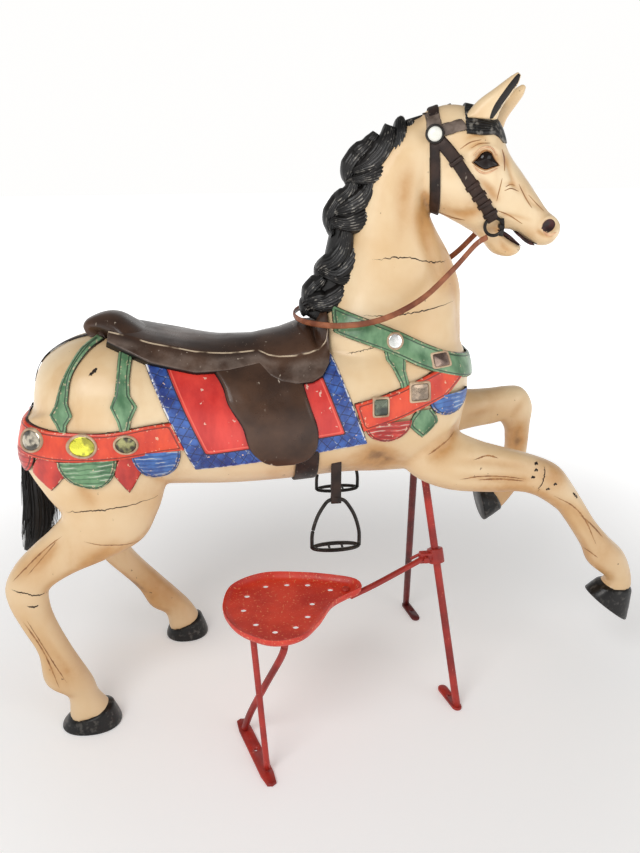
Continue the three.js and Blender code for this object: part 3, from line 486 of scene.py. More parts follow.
def saddle_paint():
    """Dark brown and scratched, with a pale line along the crease that is partly wear and partly painted
    highlight, a pale grey painted highlight on the skirt below it, and a black edge that is partly a dark
    line and partly painted shadow.
    """
    f = Finish("saddle_paint", coat=0.18, specular=0.3)
    t = f.tree
    crease = attribute(t, "crease")
    f.base(srgb(46, 29, 20), srgb(86, 60, 44), step(t, grain(t, 9, 5), 0.3, 0.75))
    scratched = step(t, grain(t, 130, 4, (1, 1, 0.3)), 0.66, 0.72)
    f.layer(times(t, scratched, step(t, grain(t, 12, 2), 0.5, 0.62)), srgb(206, 190, 172), 0.75)
    broken = step(t, grain(t, 26, 2), 0.42, 0.55)
    # Pale crease line: partly wear, partly painted highlight on the ridge
    f.layer(times(t, band(t, crease, 0.0, 2.0, 0.8), broken), srgb(198, 178, 152))
    # Pale grey painted highlight on the skirt
    skirt = times(t, step(t, crease, 4, 26), step(t, crease, 90, 60))
    f.layer(times(t, skirt, step(t, grain(t, 16, 4), 0.3, 0.7)), srgb(160, 142, 130), 0.5)
    # Black edge: partly a dark line, partly painted shadow under the raised edge
    f.layer(step(t, attribute(t, "edge"), 3.6, 1.8), srgb(14, 10, 8))
    f.rough(0.24, 0.42, 20)
    f.bump(grain(t, 260, 3), 0.12)
    return f.done()


def black_gloss(name, pale, low=0.28, high=0.48):
    """Black paint, with pale streaks on its ridges that are painted highlight."""
    f = Finish(name, coat=0.15, specular=0.32)
    t = f.tree
    f.base(srgb(5, 4, 4), srgb(24, 21, 20), step(t, grain(t, 18, 4), 0.35, 0.7))
    # Pale streaks on the ridges: painted highlight
    rubbed = times(t, step(t, grain(t, 85, 4), 0.5, 0.68), step(t, attribute(t, "ridge"), 0.45, 0.95))
    f.layer(rubbed, srgb(176, 170, 160), pale)
    f.rough(low, high, 24)
    f.bump(grain(t, 240, 3), 0.2)
    return f.done()


def leather(name, dark, light, pale=0.4):
    f = Finish(name, coat=0.05, specular=0.3)
    t = f.tree
    f.base(dark, light, step(t, grain(t, 26, 5), 0.3, 0.7))
    f.layer(step(t, grain(t, 120, 4, (1, 1, 0.4)), 0.66, 0.74), srgb(190, 176, 160), pale)
    # Dark edge: partly a dark line, partly painted shadow where the strap meets the skin
    f.layer(step(t, attribute(t, "edge"), 1.6, 0.5), dimmed(dark, 0.3), 0.7)
    f.rough(0.4, 0.6, 40)
    f.bump(grain(t, 420, 3), 0.3)
    return f.done()


def metal(name, dark, light, chip, chips=0.3, metallic=0.0, low=0.35, high=0.55):
    f = Finish(name, metallic=metallic)
    t = f.tree
    f.base(dark, light, step(t, grain(t, 12, 5), 0.3, 0.7))
    f.layer(step(t, grain(t, 210, 4), 0.66 - 0.06 * chips, 0.72 - 0.06 * chips), chip, 0.7)
    f.rough(low, high, 60)
    f.bump(grain(t, 300, 3), 0.22)
    return f.done()


# Mirror glass whose colours are partly its own tint and partly painted reflection of its surroundings
def mirror(name, dark, light):
    f = Finish(name, metallic=0.75, coat=0.8)
    t = f.tree
    f.base(dark, light, step(t, grain(t, 42, 2), 0.42, 0.58))
    f.layer(step(t, grain(t, 160, 3), 0.6, 0.7), DARK, 0.5)
    f.rough(0.06, 0.2, 60)
    return f.done()


def plain(name, dark, light, low, high, scale=60, coat=0.0, specular=0.5):
    f = Finish(name, coat=coat, specular=specular)
    f.base(dark, light, step(f.tree, grain(f.tree, scale, 3), 0.3, 0.7))
    f.rough(low, high, scale)
    return f.done()


CREAM_PAINT = cream_paint()
ORANGE_RED = trim_paint("orange_red", srgb(196, 44, 22), srgb(228, 74, 34))
STRAP_GREEN = trim_paint("strap_green", srgb(58, 104, 66), srgb(122, 160, 120), 6.0)
SCALLOP_GREEN = trim_paint("scallop_green", srgb(44, 96, 58), srgb(110, 152, 108), 5.0, True, 0.9)
SCALLOP_BLUE = trim_paint("scallop_blue", srgb(24, 66, 142), srgb(70, 120, 186), 5.0, True, 0.8)
SCALLOP_RED = trim_paint("scallop_red", srgb(166, 32, 28), srgb(214, 62, 50), 5.0, True, 0.5)
LOZENGE_RED = trim_paint("lozenge_red", srgb(160, 28, 24), srgb(206, 56, 40), 30.0, False, 0.5)
BLANKET_PAINT = blanket_paint()
SADDLE_PAINT = saddle_paint()
MANE_BLACK = black_gloss("mane_black", 0.75)
HOOF_BLACK = black_gloss("hoof_black", 0.22, 0.3, 0.5)
BRIDLE_LEATHER = leather("bridle_leather", srgb(24, 14, 11), srgb(56, 37, 28))
# Lighter copy of the bridle leather for the browband and crown pad: painted sheen
SHEEN_LEATHER = leather("browband_sheen_leather", srgb(70, 56, 48), srgb(142, 126, 114), 0.6)
REIN_LEATHER = leather("rein_leather", srgb(104, 52, 32), srgb(158, 96, 64))
BLACK_IRON = metal("black_iron", srgb(26, 24, 23), srgb(56, 52, 49), srgb(110, 100, 92), 0.2, 0.7, 0.3, 0.5)
# Darker copy of the red rod paint for the far rod: painted shade
SHADED_ROD = metal("shaded_rod", srgb(72, 14, 13), srgb(112, 24, 21), srgb(160, 70, 56), 0.3)
RED_ROD = metal("red_rod", srgb(126, 25, 20), srgb(178, 46, 35), srgb(210, 108, 82), 0.3)
RED_IRON = metal("red_iron", srgb(140, 30, 22), srgb(196, 54, 36), srgb(226, 120, 84), 0.3)
SEAT_RED = metal("seat_red", srgb(188, 36, 24), srgb(222, 66, 44), srgb(232, 150, 104), 1.0, 0.0, 0.3, 0.5)
WHITE_ENAMEL = plain("white_enamel", srgb(226, 226, 216), srgb(250, 250, 244), 0.2, 0.35)
CRACK_PAINT = plain("crack_paint", srgb(24, 16, 12), srgb(58, 38, 24), 0.7, 0.9)
EYE_GLOSS = plain("eye_gloss", srgb(8, 4, 3), srgb(26, 12, 8), 0.1, 0.16, 20, 0.1, 0.35)
MAROON = plain("maroon", srgb(26, 7, 7), srgb(70, 20, 17), 0.4, 0.6)
CARVE_PAINT = plain("carve_paint", srgb(128, 82, 44), srgb(176, 126, 76), 0.5, 0.7)
# Each mirror's colours: partly its own tint, partly painted reflection
MIRRORS = {
    "jewel_oval_rear": mirror("mirror_grey", srgb(70, 66, 58), srgb(206, 196, 176)),
    "jewel_oval_middle": mirror("mirror_yellow", srgb(150, 146, 40), srgb(232, 228, 66)),
    "jewel_oval_front": mirror("mirror_dark", srgb(54, 48, 36), srgb(150, 148, 96)),
    "jewel_round_breast": mirror("mirror_white", srgb(222, 224, 220), srgb(252, 252, 250)),
    "jewel_square_breast": mirror("mirror_brown", srgb(112, 90, 80), srgb(146, 122, 108)),
    "jewel_square_chest_rear": mirror("mirror_green", srgb(46, 52, 44), srgb(104, 112, 94)),
    "jewel_square_chest_front": mirror("mirror_tan", srgb(120, 104, 88), srgb(176, 154, 132)),
}

# Stations of the carved body: [topX, topZ, bottomX, bottomZ, y, halfWidth]
TORSO = [
    [-592, 728, -592, 662, 0, 30], [-575, 788, -575, 605, 0, 88], [-545, 822, -545, 560, 0, 128],
    [-490, 848, -490, 542, 0, 156], [-410, 855, -410, 538, 0, 168], [-310, 838, -310, 534, 0, 165],
    [-200, 814, -200, 530, 0, 166], [-80, 816, -80, 533, 0, 168], [40, 850, 40, 538, 0, 165],
    [140, 880, 140, 532, 0, 158], [220, 875, 220, 538, 0, 142], [280, 845, 280, 578, 0, 108],
    [308, 800, 308, 640, 0, 62], [318, 750, 318, 690, 0, 22],
]
NECK = [
    [-30, 800, 290, 690, 0, 135], [-20, 860, 300, 800, 0, 122], [5, 905, 298, 880, 0, 106],
    [25, 950, 292, 940, 0, 94], [45, 1005, 266, 1002, 0, 84], [58, 1065, 235, 1052, 0, 74],
    [75, 1130, 215, 1092, 0, 66], [100, 1190, 212, 1125, 0, 62], [152, 1242, 228, 1165, 0, 57],
    [215, 1268, 255, 1190, 0, 48],
]
HEAD = [
    [205, 1272, 178, 1150, 0, 46], [250, 1284, 205, 1098, 0, 60], [300, 1276, 250, 1076, 0, 70],
    [343, 1250, 282, 1060, 0, 74], [371, 1196, 316, 1044, 0, 68], [400, 1159, 352, 1050, 0, 57],
    [430, 1121, 386, 1050, 0, 47], [455, 1089, 416, 1033, 0, 43], [472, 1075, 440, 1020, 0, 44],
    [482, 1062, 461, 1021, 0, 36], [483, 1048, 474, 1033, 0, 20],
]
LOWER_JAW = [
    [330, 1080, 296, 1056, 0, 44], [360, 1052, 328, 1030, 0, 38], [384, 1036, 352, 1004, 0, 34],
    [402, 1024, 382, 996, 0, 30], [411, 1015, 401, 1001, 0, 16],
]
EAR = [
    [276, 1262, 338, 1256, 0, 20], [300, 1290, 344, 1276, 0, 20], [330, 1312, 360, 1300, 0, 17],
    [354, 1330, 372, 1318, 0, 11], [369, 1340, 377, 1334, 0, 4],
]
NEAR_HIND = [
    [-596, 715, -390, 780, -78, 62], [-610, 655, -350, 690, -90, 72], [-602, 612, -330, 595, -98, 66],
    [-572, 556, -340, 540, -108, 56], [-546, 512, -356, 500, -114, 50], [-572, 478, -386, 450, -120, 45],
    [-606, 450, -452, 415, -125, 40], [-646, 412, -530, 386, -130, 35], [-672, 366, -582, 354, -134, 32],
    [-670, 318, -590, 316, -135, 30], [-652, 262, -580, 262, -135, 27], [-628, 196, -554, 188, -135, 27],
    [-622, 120, -522, 114, -136, 32], [-580, 80, -512, 76, -136, 26], [-580, 20, -488, 38, -136, 37],
]
FAR_HIND = [
    [-590, 715, -395, 780, 78, 62], [-590, 650, -362, 680, 90, 72], [-570, 595, -368, 590, 100, 64],
    [-545, 530, -380, 520, 112, 54], [-538, 470, -392, 448, 126, 46], [-548, 405, -420, 376, 140, 38],
    [-556, 345, -458, 322, 150, 34], [-548, 296, -464, 300, 156, 31], [-512, 238, -452, 268, 160, 28],
    [-482, 200, -424, 226, 162, 27], [-440, 146, -384, 176, 164, 28], [-416, 96, -342, 124, 166, 31],
    [-380, 66, -316, 90, 168, 27], [-372, 18, -293, 46, 169, 36],
]
NEAR_FORE = [
    [215, 700, 140, 620, -62, 50], [280, 640, 176, 552, -90, 52], [329, 616, 248, 515, -104, 49],
    [374, 602, 340, 502, -110, 43], [432, 585, 418, 498, -112, 37], [482, 566, 458, 486, -113, 37],
    [516, 545, 490, 466, -113, 36], [545, 508, 508, 452, -113, 32], [574, 466, 524, 438, -113, 28],
    [612, 410, 556, 394, -113, 28], [652, 364, 590, 342, -113, 31], [692, 324, 612, 298, -113, 34],
    [716, 274, 662, 254, -113, 27], [724, 230, 646, 234, -113, 34],
]
FAR_FORE = [
    [215, 700, 140, 620, 62, 50], [300, 668, 225, 548, 94, 56], [378, 657, 378, 566, 106, 45],
    [432, 657, 432, 571, 110, 39], [470, 660, 452, 575, 111, 38], [506, 655, 462, 566, 112, 38],
    [530, 618, 472, 548, 112, 35], [530, 570, 474, 530, 112, 30], [530, 510, 476, 505, 112, 27],
    [526, 450, 472, 452, 112, 28], [520, 408, 456, 424, 112, 31], [492, 362, 440, 412, 112, 31],
    [472, 340, 434, 404, 112, 35],
]
EAR_APART = 40
FAR_EAR_LEAN = np.array([24.0, 0.0, -18.0])

# Carved grooves and swellings: path of [x, z], half-width, depth and y range
GROOVES = [
    ([[-642, 291], [-613, 214], [-588, 120]], 8, 3.6, -200, -60),
    ([[-622, 300], [-590, 210], [-560, 136]], 8, 3.0, -200, -60),
    ([[-651, 385], [-596, 437], [-544, 479]], 10, 5.0, -200, -60),
    ([[-606, 404], [-572, 440], [-546, 470]], 9, 3.6, -200, -60),
    ([[-500, 600], [-486, 570], [-468, 536]], 20, 7.0, -200, -60),
    ([[-420, 470], [-470, 440], [-530, 410]], 12, 3.0, -200, -60),
    ([[-480, 214], [-440, 166], [-397, 116]], 8, 3.4, 60, 220),
    ([[205, 592], [243, 615], [280, 646], [312, 690]], 17, 8.0, -220, -30),
    ([[70, 640], [112, 600], [166, 566]], 22, 9.0, -220, -40),
    ([[240, 558], [350, 547], [440, 534]], 10, 5.0, -220, -60),
    ([[252, 592], [350, 582], [430, 566]], 9, 3.4, -220, -60),
    ([[494, 494], [548, 456], [600, 408], [632, 366]], 8, 3.6, -220, -60),
    ([[519, 474], [569, 417], [612, 362]], 8, 3.2, -220, -60),
    ([[340, 606], [436, 622]], 10, 5.0, 40, 220),
    ([[508, 649], [486, 620], [465, 593]], 8, 3.4, 40, 220),
    ([[492, 586], [500, 480]], 8, 3.4, 40, 220),
    ([[240, 1074], [252, 1010], [276, 930], [292, 850], [296, 780]], 20, 7.0, -200, 200),
    ([[208, 1130], [196, 1070], [212, 1000], [248, 920]], 15, 5.0, -200, 200),
    ([[176, 1200], [160, 1150], [150, 1090], [140, 1000]], 16, 3.0, -200, 200),
]
# Broad painted shade in ochre: centre [x, z], radius and strength, for the body and for the head
BODY_PATCHES = [
    (105, 600, 60, 0.7), (230, 610, 50, 0.5), (-400, 560, 60, 0.45), (-610, 400, 50, 0.45),
    (-570, 150, 60, 0.5),
    (500, 540, 40, 0.4), (640, 350, 60, 0.5), (480, 560, 60, 0.5), (470, 430, 50, 0.6), (-400, 140, 70, 0.6),
    (-300, 550, 60, 0.5), (-100, 545, 80, 0.55), (40, 560, 80, 0.6), (215, 1080, 50, 0.75),
    (250, 960, 40, 0.4),
    (285, 850, 40, 0.4), (-480, 430, 60, 0.4), (380, 520, 60, 0.45), (150, 1140, 30, 0.3), (20, 800, 50, 0.2),
]
HEAD_PATCHES = [
    (296, 1092, 34, 0.55), (350, 1052, 26, 0.5), (356, 1186, 18, 0.5), (455, 1092, 20, 0.4),
    (420, 1048, 22, 0.5),
    (372, 1012, 26, 0.45), (335, 1118, 26, 0.3), (290, 1215, 24, 0.3), (240, 1110, 30, 0.35),
    (462, 1034, 16, 0.4),
    (395, 1140, 22, 0.25), (300, 1268, 16, 0.35),
]


def shade_patches(flat, patches):
    total = np.zeros(len(flat))
    for x, z, radius, strength in patches:
        total += strength * np.exp(-(((flat[:, 0] - x) ** 2 + (flat[:, 2] - z) ** 2) / radius**2))
    return total


HEAD_GROOVES = [
    ([[278, 1224], [303, 1231], [330, 1216]], 4, 2.4),
    ([[284, 1203], [302, 1216], [326, 1214]], 3.5, 2.2),
    ([[393, 1142], [413, 1109], [450, 1091]], 5, 2.2),
    ([[352, 1204], [365, 1174], [379, 1143], [396, 1121]], 6, 3.0),
    ([[350, 1087], [380, 1082], [425, 1072]], 4, 2.2),
    ([[300, 1160], [331, 1134], [352, 1106]], 9, 4.0),
    ([[355, 1143], [371, 1143], [382, 1138]], 3.5, 2.0),
    ([[359, 1037], [377, 1015], [398, 1007]], 4, 2.6),
    ([[232, 1094], [262, 1084], [296, 1086], [322, 1098]], 10, 3.6),
    ([[430, 1056], [446, 1044], [466, 1044]], 4, 2.4),
    ([[208, 1180], [206, 1140], [212, 1108]], 8, 4.0),
]
BODY_VOXEL = 5.0
GROOVE_SHADE = 0.5
HEAD_VOXEL = 2.8
# The head's finer skin starts at PART_X under the headstall, above a line from throat to jaw
PART_X = 224.0
THROAT_Z = 1086.0
JAW_X = 300.0
JAW_Z = 1040.0
CHIN_Z = 960.0
PART_OVERLAP = 6.0
EYE = np.array([320.0, 1189.0])
NOSTRIL = np.array([457.0, 1063.0])


def turn_about_poll(points, angle):
    p = np.atleast_2d(np.asarray(points, float)).copy()
    dx, dy = p[:, 0] - POLL_X, p[:, 1].copy()
    p[:, 0] = POLL_X + dx * math.cos(angle) + dy * math.sin(angle)
    p[:, 1] = -dx * math.sin(angle) + dy * math.cos(angle)
    return p


def head_point(points):
    return turn_about_poll(points, HEAD_TURN)


def unturn(points):
    return turn_about_poll(points, -HEAD_TURN)


def head_direction(vector):
    poll = np.array([POLL_X, 0.0, 0.0])
    return head_point(poll + np.asarray(vector, float))[0] - poll


def turned(rings):
    return head_point(rings.reshape(-1, 3)).reshape(rings.shape)


def head_lofts():
    near_ear = loft(EAR, 24) + np.array([0.0, NEAR * EAR_APART, 0.0])
    far_ear = loft(EAR, 24) + np.array([0.0, FAR * EAR_APART, 0.0]) + FAR_EAR_LEAN
    return [skin_rings(turned(r)) for r in (loft(HEAD), loft(LOWER_JAW), near_ear, far_ear)]


def remeshed(name, lofts, voxel, rounds):
    """One closed skin over overlapping lofts."""
    points, faces = merge(lofts)
    mesh = bpy.data.meshes.new(name)
    mesh.from_pydata(to_row(points).tolist(), [], faces)
    work = bpy.data.objects.new(name, mesh)
    scene.collection.objects.link(work)
    cover = work.modifiers.new("cover", "REMESH")
    cover.mode = "VOXEL"
    cover.voxel_size = voxel * MM
    soft = work.modifiers.new("soft", "SMOOTH")
    soft.iterations = rounds
    result = bpy.data.meshes.new_from_object(work.evaluated_get(bpy.context.evaluated_depsgraph_get()))
    bpy.data.objects.remove(work)
    return result


def mesh_arrays(mesh):
    co = np.empty(len(mesh.vertices) * 3)
    mesh.vertices.foreach_get("co", co)
    normal = np.empty(len(mesh.vertices) * 3)
    mesh.vertices.foreach_get("normal", normal)
    return to_datum(co.reshape(-1, 3)), normal.reshape(-1, 3)


def path_distance(x, z, path):
    """Distance to a path in the X-Z plane, and the share of its length at the nearest place."""
    line = smooth_line(path, 6 * len(path))
    best = np.full(len(x), 1e9)
    share = np.zeros(len(x))
    for i in range(len(line) - 1):
        a, d = line[i], line[i + 1] - line[i]
        t = np.clip(((x - a[0]) * d[0] + (z - a[1]) * d[1]) / max(d @ d, 1e-9), 0, 1)
        gap = np.hypot(x - a[0] - t * d[0], z - a[1] - t * d[1])
        closer = gap < best
        best[closer] = gap[closer]
        share[closer] = (i + t[closer]) / (len(line) - 1)
    return best, share


def neighbours(mesh):
    pairs = np.empty(len(mesh.edges) * 2, np.int64)
    mesh.edges.foreach_get("vertices", pairs)
    return pairs.reshape(-1, 2).T


def soften(mesh, values, rounds):
    """Averages values over the mesh's edges."""
    a, b = neighbours(mesh)
    count = np.bincount(a, minlength=len(values)) + np.bincount(b, minlength=len(values))
    for _ in range(rounds):
        near = np.bincount(a, values[b], len(values)) + np.bincount(b, values[a], len(values))
        values = 0.4 * values + 0.6 * near / np.maximum(count, 1)
    return values


def cavity(mesh, points, normals):
    """How hollow the surface is at each point."""
    a, b = neighbours(mesh)
    count = np.bincount(a, minlength=len(points)) + np.bincount(b, minlength=len(points))
    total = np.zeros_like(points)
    np.add.at(total, a, points[b])
    np.add.at(total, b, points[a])
    return np.einsum("ij,ij->i", total / np.maximum(count, 1)[:, None] - points, normals)


def carve(mesh, points, normals, flat, grooves):
    """Presses grooves into the skin and returns the painted shade that they get."""
    shade = np.zeros(len(points))
    depths = np.zeros(len(points))
    for path, half, depth, *span in grooves:
        gap, share = path_distance(flat[:, 0], flat[:, 2], path)
        facing = np.clip(np.abs(normals[:, 1]) * 1.6, 0, 1)
        if span:
            facing = facing * ((points[:, 1] > span[0]) & (points[:, 1] < span[1]))
        weight = np.exp(-((gap / half) ** 2)) * np.sin(np.pi * share) ** 0.7 * facing
        depths += weight * depth
        shade += weight * GROOVE_SHADE
    points -= normals * soften(mesh, depths, 3)[:, None]
    return shade


def in_head(points, slack=0.0):
    """True for places before the headstall and above the throat."""
    flat = unturn(points)
    throat = np.interp(flat[:, 0], [PART_X, JAW_X, JAW_X + 1], [THROAT_Z, JAW_Z, CHIN_Z])
    return (flat[:, 0] > PART_X - slack) & (flat[:, 2] > throat - slack)


def finish_skin(name, mesh, points, shade, keep):
    """Writes the carved points back and keeps the marked part."""
    mesh.vertices.foreach_set("co", to_row(points).ravel())
    set_values(mesh, "shade", shade)
    work = bmesh.new()
    work.from_mesh(mesh)
    work.verts.ensure_lookup_table()
    bmesh.ops.delete(work, geom=[v for v in work.verts if not keep[v.index]], context="VERTS")
    work.to_mesh(mesh)
    work.free()
    add_piece(name, mesh, CREAM_PAINT, ("horse",))


def tree_of(points, faces):
    return BVHTree.FromPolygons([tuple(p) for p in points], faces)


def mesh_tree(points, mesh):
    return tree_of(points, [tuple(p.vertices) for p in mesh.polygons])


# The carved body, and the head in finer work, parted under the headstall
BELLY_Z = 575.0
BELLY_SHADE = 0.55
FAR_LEG_SHADE = 0.25
trunk = [skin_rings(loft(s, 48)) for s in (TORSO, NECK)]
limbs = [skin_rings(loft(s, 32)) for s in (NEAR_HIND, FAR_HIND, NEAR_FORE, FAR_FORE)]

body_mesh = remeshed("body_skin", trunk + limbs + head_lofts()[:1], BODY_VOXEL, 8)
body_points, body_normals = mesh_arrays(body_mesh)
# Painted shade on the body: in the grooves and hollows, under the belly, in broad patches and on the far legs
body_shade = carve(body_mesh, body_points, body_normals, body_points, GROOVES)
body_shade += np.clip(cavity(body_mesh, body_points, body_normals) * 1.3, 0, 0.8)
body_shade += BELLY_SHADE * np.clip((BELLY_Z - body_points[:, 2]) / 60, 0, 1) * (body_normals[:, 2] < -0.3)
body_shade += shade_patches(body_points, BODY_PATCHES)
body_shade += FAR_LEG_SHADE * (body_points[:, 1] > 60) * (body_points[:, 2] < 540)
body_tree = mesh_tree(body_points, body_mesh)
finish_skin("body", body_mesh, body_points, soften(body_mesh, body_shade, 5), ~in_head(body_points))

head_mesh = remeshed("head_skin", [skin_rings(loft(NECK[4:], 48))] + head_lofts(), HEAD_VOXEL, 10)
head_points, head_normals = mesh_arrays(head_mesh)
head_flat = unturn(head_points)
# Painted shade on the head: in its grooves, in the eye and nostril hollows, in other hollows and in broad
# patches
head_shade = carve(head_mesh, head_points, head_normals, head_flat, HEAD_GROOVES)
# Eye sockets and nostrils: centre, half sizes and depth
for centre, size, depth in ((EYE, (21, 15), 6.0), (NOSTRIL, (14, 11), 9.0)):
    reach = np.hypot((head_flat[:, 0] - centre[0]) / size[0], (head_flat[:, 2] - centre[1]) / size[1])
    sideways = np.clip(np.abs(head_normals[:, 1]) * 1.5, 0, 1)
    hollow = np.exp(-(reach**3)) * sideways
    head_points -= head_normals * (hollow * depth)[:, None]
    ring = np.exp(-(((reach - 1.35) / 0.3) ** 2)) * sideways
    head_points += head_normals * (ring * depth * 0.3)[:, None]
    head_shade += hollow * 0.8
head_shade += np.clip(cavity(head_mesh, head_points, head_normals) * 2.0, 0, 0.8)
head_shade += shade_patches(head_flat, HEAD_PATCHES)
head_tree = mesh_tree(head_points, head_mesh)
head_part = in_head(head_points, PART_OVERLAP)
finish_skin("head", head_mesh, head_points, soften(head_mesh, head_shade, 4), head_part)


# Places on the skin
CHEST_AXIS_X = 170.0
RUMP_AXIS_X = -480.0
END_RADIUS = 125.0
TORSO_AXIS_Z = 690.0


def cast(tree, start, direction):
    hit = tree.ray_cast(Vector(start), Vector(direction).normalized())[0]
    return None if hit is None else np.array(hit)


def flank(s, z, side):
    """Skin point and outward direction; s runs along X and bends round the chest and the rump."""
    end = CHEST_AXIS_X if s > CHEST_AXIS_X else max(s, RUMP_AXIS_X)
    angle = (s - end) / END_RADIUS
    out = np.array([math.sin(angle), side * math.cos(angle), 0.0])
    start = np.array([end, 0.0, z])
    hit = cast(body_tree, start, out)
    return (start + out * 100 if hit is None else hit), out


def barrel(x, degrees, side):
    angle = math.radians(degrees)
    out = np.array([0.0, side * math.sin(angle), math.cos(angle)])
    start = np.array([x, 0.0, TORSO_AXIS_Z])
    hit = cast(body_tree, start, out)
    return (start + out * 150 if hit is None else hit), out


def wall(tree, x, z, side, fallback=0.0):
    """Skin seen straight from the side."""
    out = np.array([0.0, side, 0.0])
    hit = cast(tree, (x, side * 600, z), -out)
    return (np.array([x, side * fallback, z]) if hit is None else hit), out


def head_wall(x, z, side):
    out = head_direction([0, side, 0])
    start = head_point([[x, side * 300, z]])[0]
    hit = cast(head_tree, start, -out)
    return (head_point([[x, side * 30, z]])[0] if hit is None else hit), out


# Raised carving that follows the skin
RIM_MARKS = (0.0, 1.2, 3.0)
SHEET_SINK = 8.0


def steps(length, pitch):
    """Shares of a length, closer together at its ends."""
    last = RIM_MARKS[-1]
    inner = np.linspace(last, length - last, max(2, int(length / pitch)))
    marks = np.concatenate([RIM_MARKS[:-1], inner, length - np.array(RIM_MARKS[:-1])[::-1]])
    return np.clip(marks / length, 0, 1)


def sheet(us, vs, flat, place, height, bevel=4.0, open_sides=(), crown=0.0):
    """Grid over flat(u, v), raised from place(flat) with rounded edges. Returns shape and attributes."""
    grid = np.array([[flat(u, v) for v in vs] for u in us], float)
    sides = {"left": grid[0], "right": grid[-1], "top": grid[:, 0], "bottom": grid[:, -1]}
    rim = np.vstack([smooth_line(p, 4 * len(p)) for name, p in sides.items() if name not in open_sides])
    length = np.concatenate([[0], np.cumsum(np.hypot(*np.diff(rim, axis=0).T))])
    spots = grid.reshape(-1, 2)
    gaps = np.hypot(spots[:, None, 0] - rim[None, :, 0], spots[:, None, 1] - rim[None, :, 1])
    nearest = gaps.argmin(1)
    edge = gaps.min(1)
    share = np.clip(edge / bevel, 0, 1)
    rise = height * np.sqrt(1 - (1 - share) ** 2) + crown * np.clip(edge / 30, 0, 1)
    rise[edge < 0.3] = -SHEET_SINK
    points = []
    for (s, z), lift in zip(spots, rise):
        base, out = place(s, z)
        points.append(base + out * lift)
    return (np.array(points), grid_faces(len(us), len(vs))), {"edge": edge, "along": length[nearest]}


def between(points, u):
    """Height of a line of [s, z] at s."""
    p = np.array(points, float)
    return np.interp(u, p[:, 0], p[:, 1])


def raised(name, material, us, vs, flat, place, height, slot="painted_wood", replaces=("horse",), **options):
    shape, values = sheet(us, vs, flat, place, height, **options)
    build(name, shape, material, replaces, values)


def on_flank(side):
    def place(s, z):
        return flank(s, z, side)

    return place


def over_barrel(side):
    def place(x, z):
        return barrel(x, height_angle(z), side)

    return place


def ruled(left, right, t):
    """Map from shares (u, v) to places between two lines, which are marked with t."""

    def flat(u, v):
        a = np.array([np.interp(v, t, left[:, i]) for i in (0, 1)])
        b = np.array([np.interp(v, t, right[:, i]) for i in (0, 1)])
        return a + (b - a) * u

    return flat


# Straps round the horse: middle line of [s, z]
HIP_STRAP = [[-660, 684], [-600, 690], [-520, 676], [-435, 673], [-350, 684], [-300, 688]]
BREAST_STRAP = [[15, 886], [80, 866], [140, 843], [215, 808], [290, 782], [366, 770]]
CHEST_STRAP = [[54, 706], [140, 730], [215, 760], [280, 776]]
SIDE_NAMES = {NEAR: "near", FAR: "far"}


def strap(name, line, half, side, material, height, tip=0.0, slant=(0.0, 0.0)):
    """Strap whose ends lean by slant, narrowing to a point over the share tip of its length."""
    curve = smooth_line(line, 60)
    length = np.hypot(*np.diff(curve, axis=0).T).sum()
    t = np.linspace(0, 1, len(curve))

    def flat(u, v):
        width = half * (1 if not tip else min(1, (1 - u) / tip + 0.02))
        rise = width * (1 - 2 * v)
        lean = slant[0] * (1 - u) + slant[1] * u
        return np.interp(u, t, curve[:, 0]) + lean * rise, np.interp(u, t, curve[:, 1]) + rise

    us, vs = steps(length, 7), steps(2 * half, 5)
    raised(f"{name}_{SIDE_NAMES[side]}", material, us, vs, flat, on_flank(side), height)


for side in (NEAR, FAR):
    strap("hip_strap", HIP_STRAP, 30, side, ORANGE_RED, 9, slant=(0.0, -0.39))
    strap("breast_strap", BREAST_STRAP, 25, side, STRAP_GREEN, 10)
    strap("chest_strap", CHEST_STRAP, 30, side, ORANGE_RED, 9, 0.3, (-0.32, 0.0))

# Scallops and lozenges below the straps: name, s, top, half-width, depth, whether pointed, and paint
PENDANTS = [
    ("scallop_rear", -585, 662, 34, 50, False, SCALLOP_RED),
    ("lozenge_rear", -535, 652, 26, 72, True, LOZENGE_RED),
    ("scallop_middle", -470, 646, 50, 62, False, SCALLOP_GREEN),
    ("lozenge_front", -402, 650, 26, 80, True, LOZENGE_RED),
    ("scallop_front", -345, 658, 48, 66, False, SCALLOP_BLUE),
    ("scallop_chest", 116, 694, 50, 46, False, SCALLOP_RED),
    ("lozenge_chest", 188, 712, 28, 64, True, STRAP_GREEN),
    ("scallop_breast", 240, 738, 46, 48, False, SCALLOP_BLUE),
]


def pendant(name, s, top, half, depth, pointed, material):
    def flat(u, v):
        k = 2 * u - 1
        if pointed:
            waist = 0.5 + 0.5 * math.sin(math.pi * v) if v < 0.5 else 1 - (2 * v - 1) ** 1.1
            return s + half * k * max(waist, 0.04), top - depth * v
        reach = math.sqrt(max(0.0, 1 - 0.995 * k * k))
        return s + half * k, top - depth * reach * v

    us, vs = steps(2 * half, 4), steps(depth, 4)
    height = 4.5 if pointed else 7
    raised(name, material, us, vs, flat, on_flank(NEAR), height, open_sides=("top",), crown=2.0)


for item in PENDANTS:
    pendant(*item)

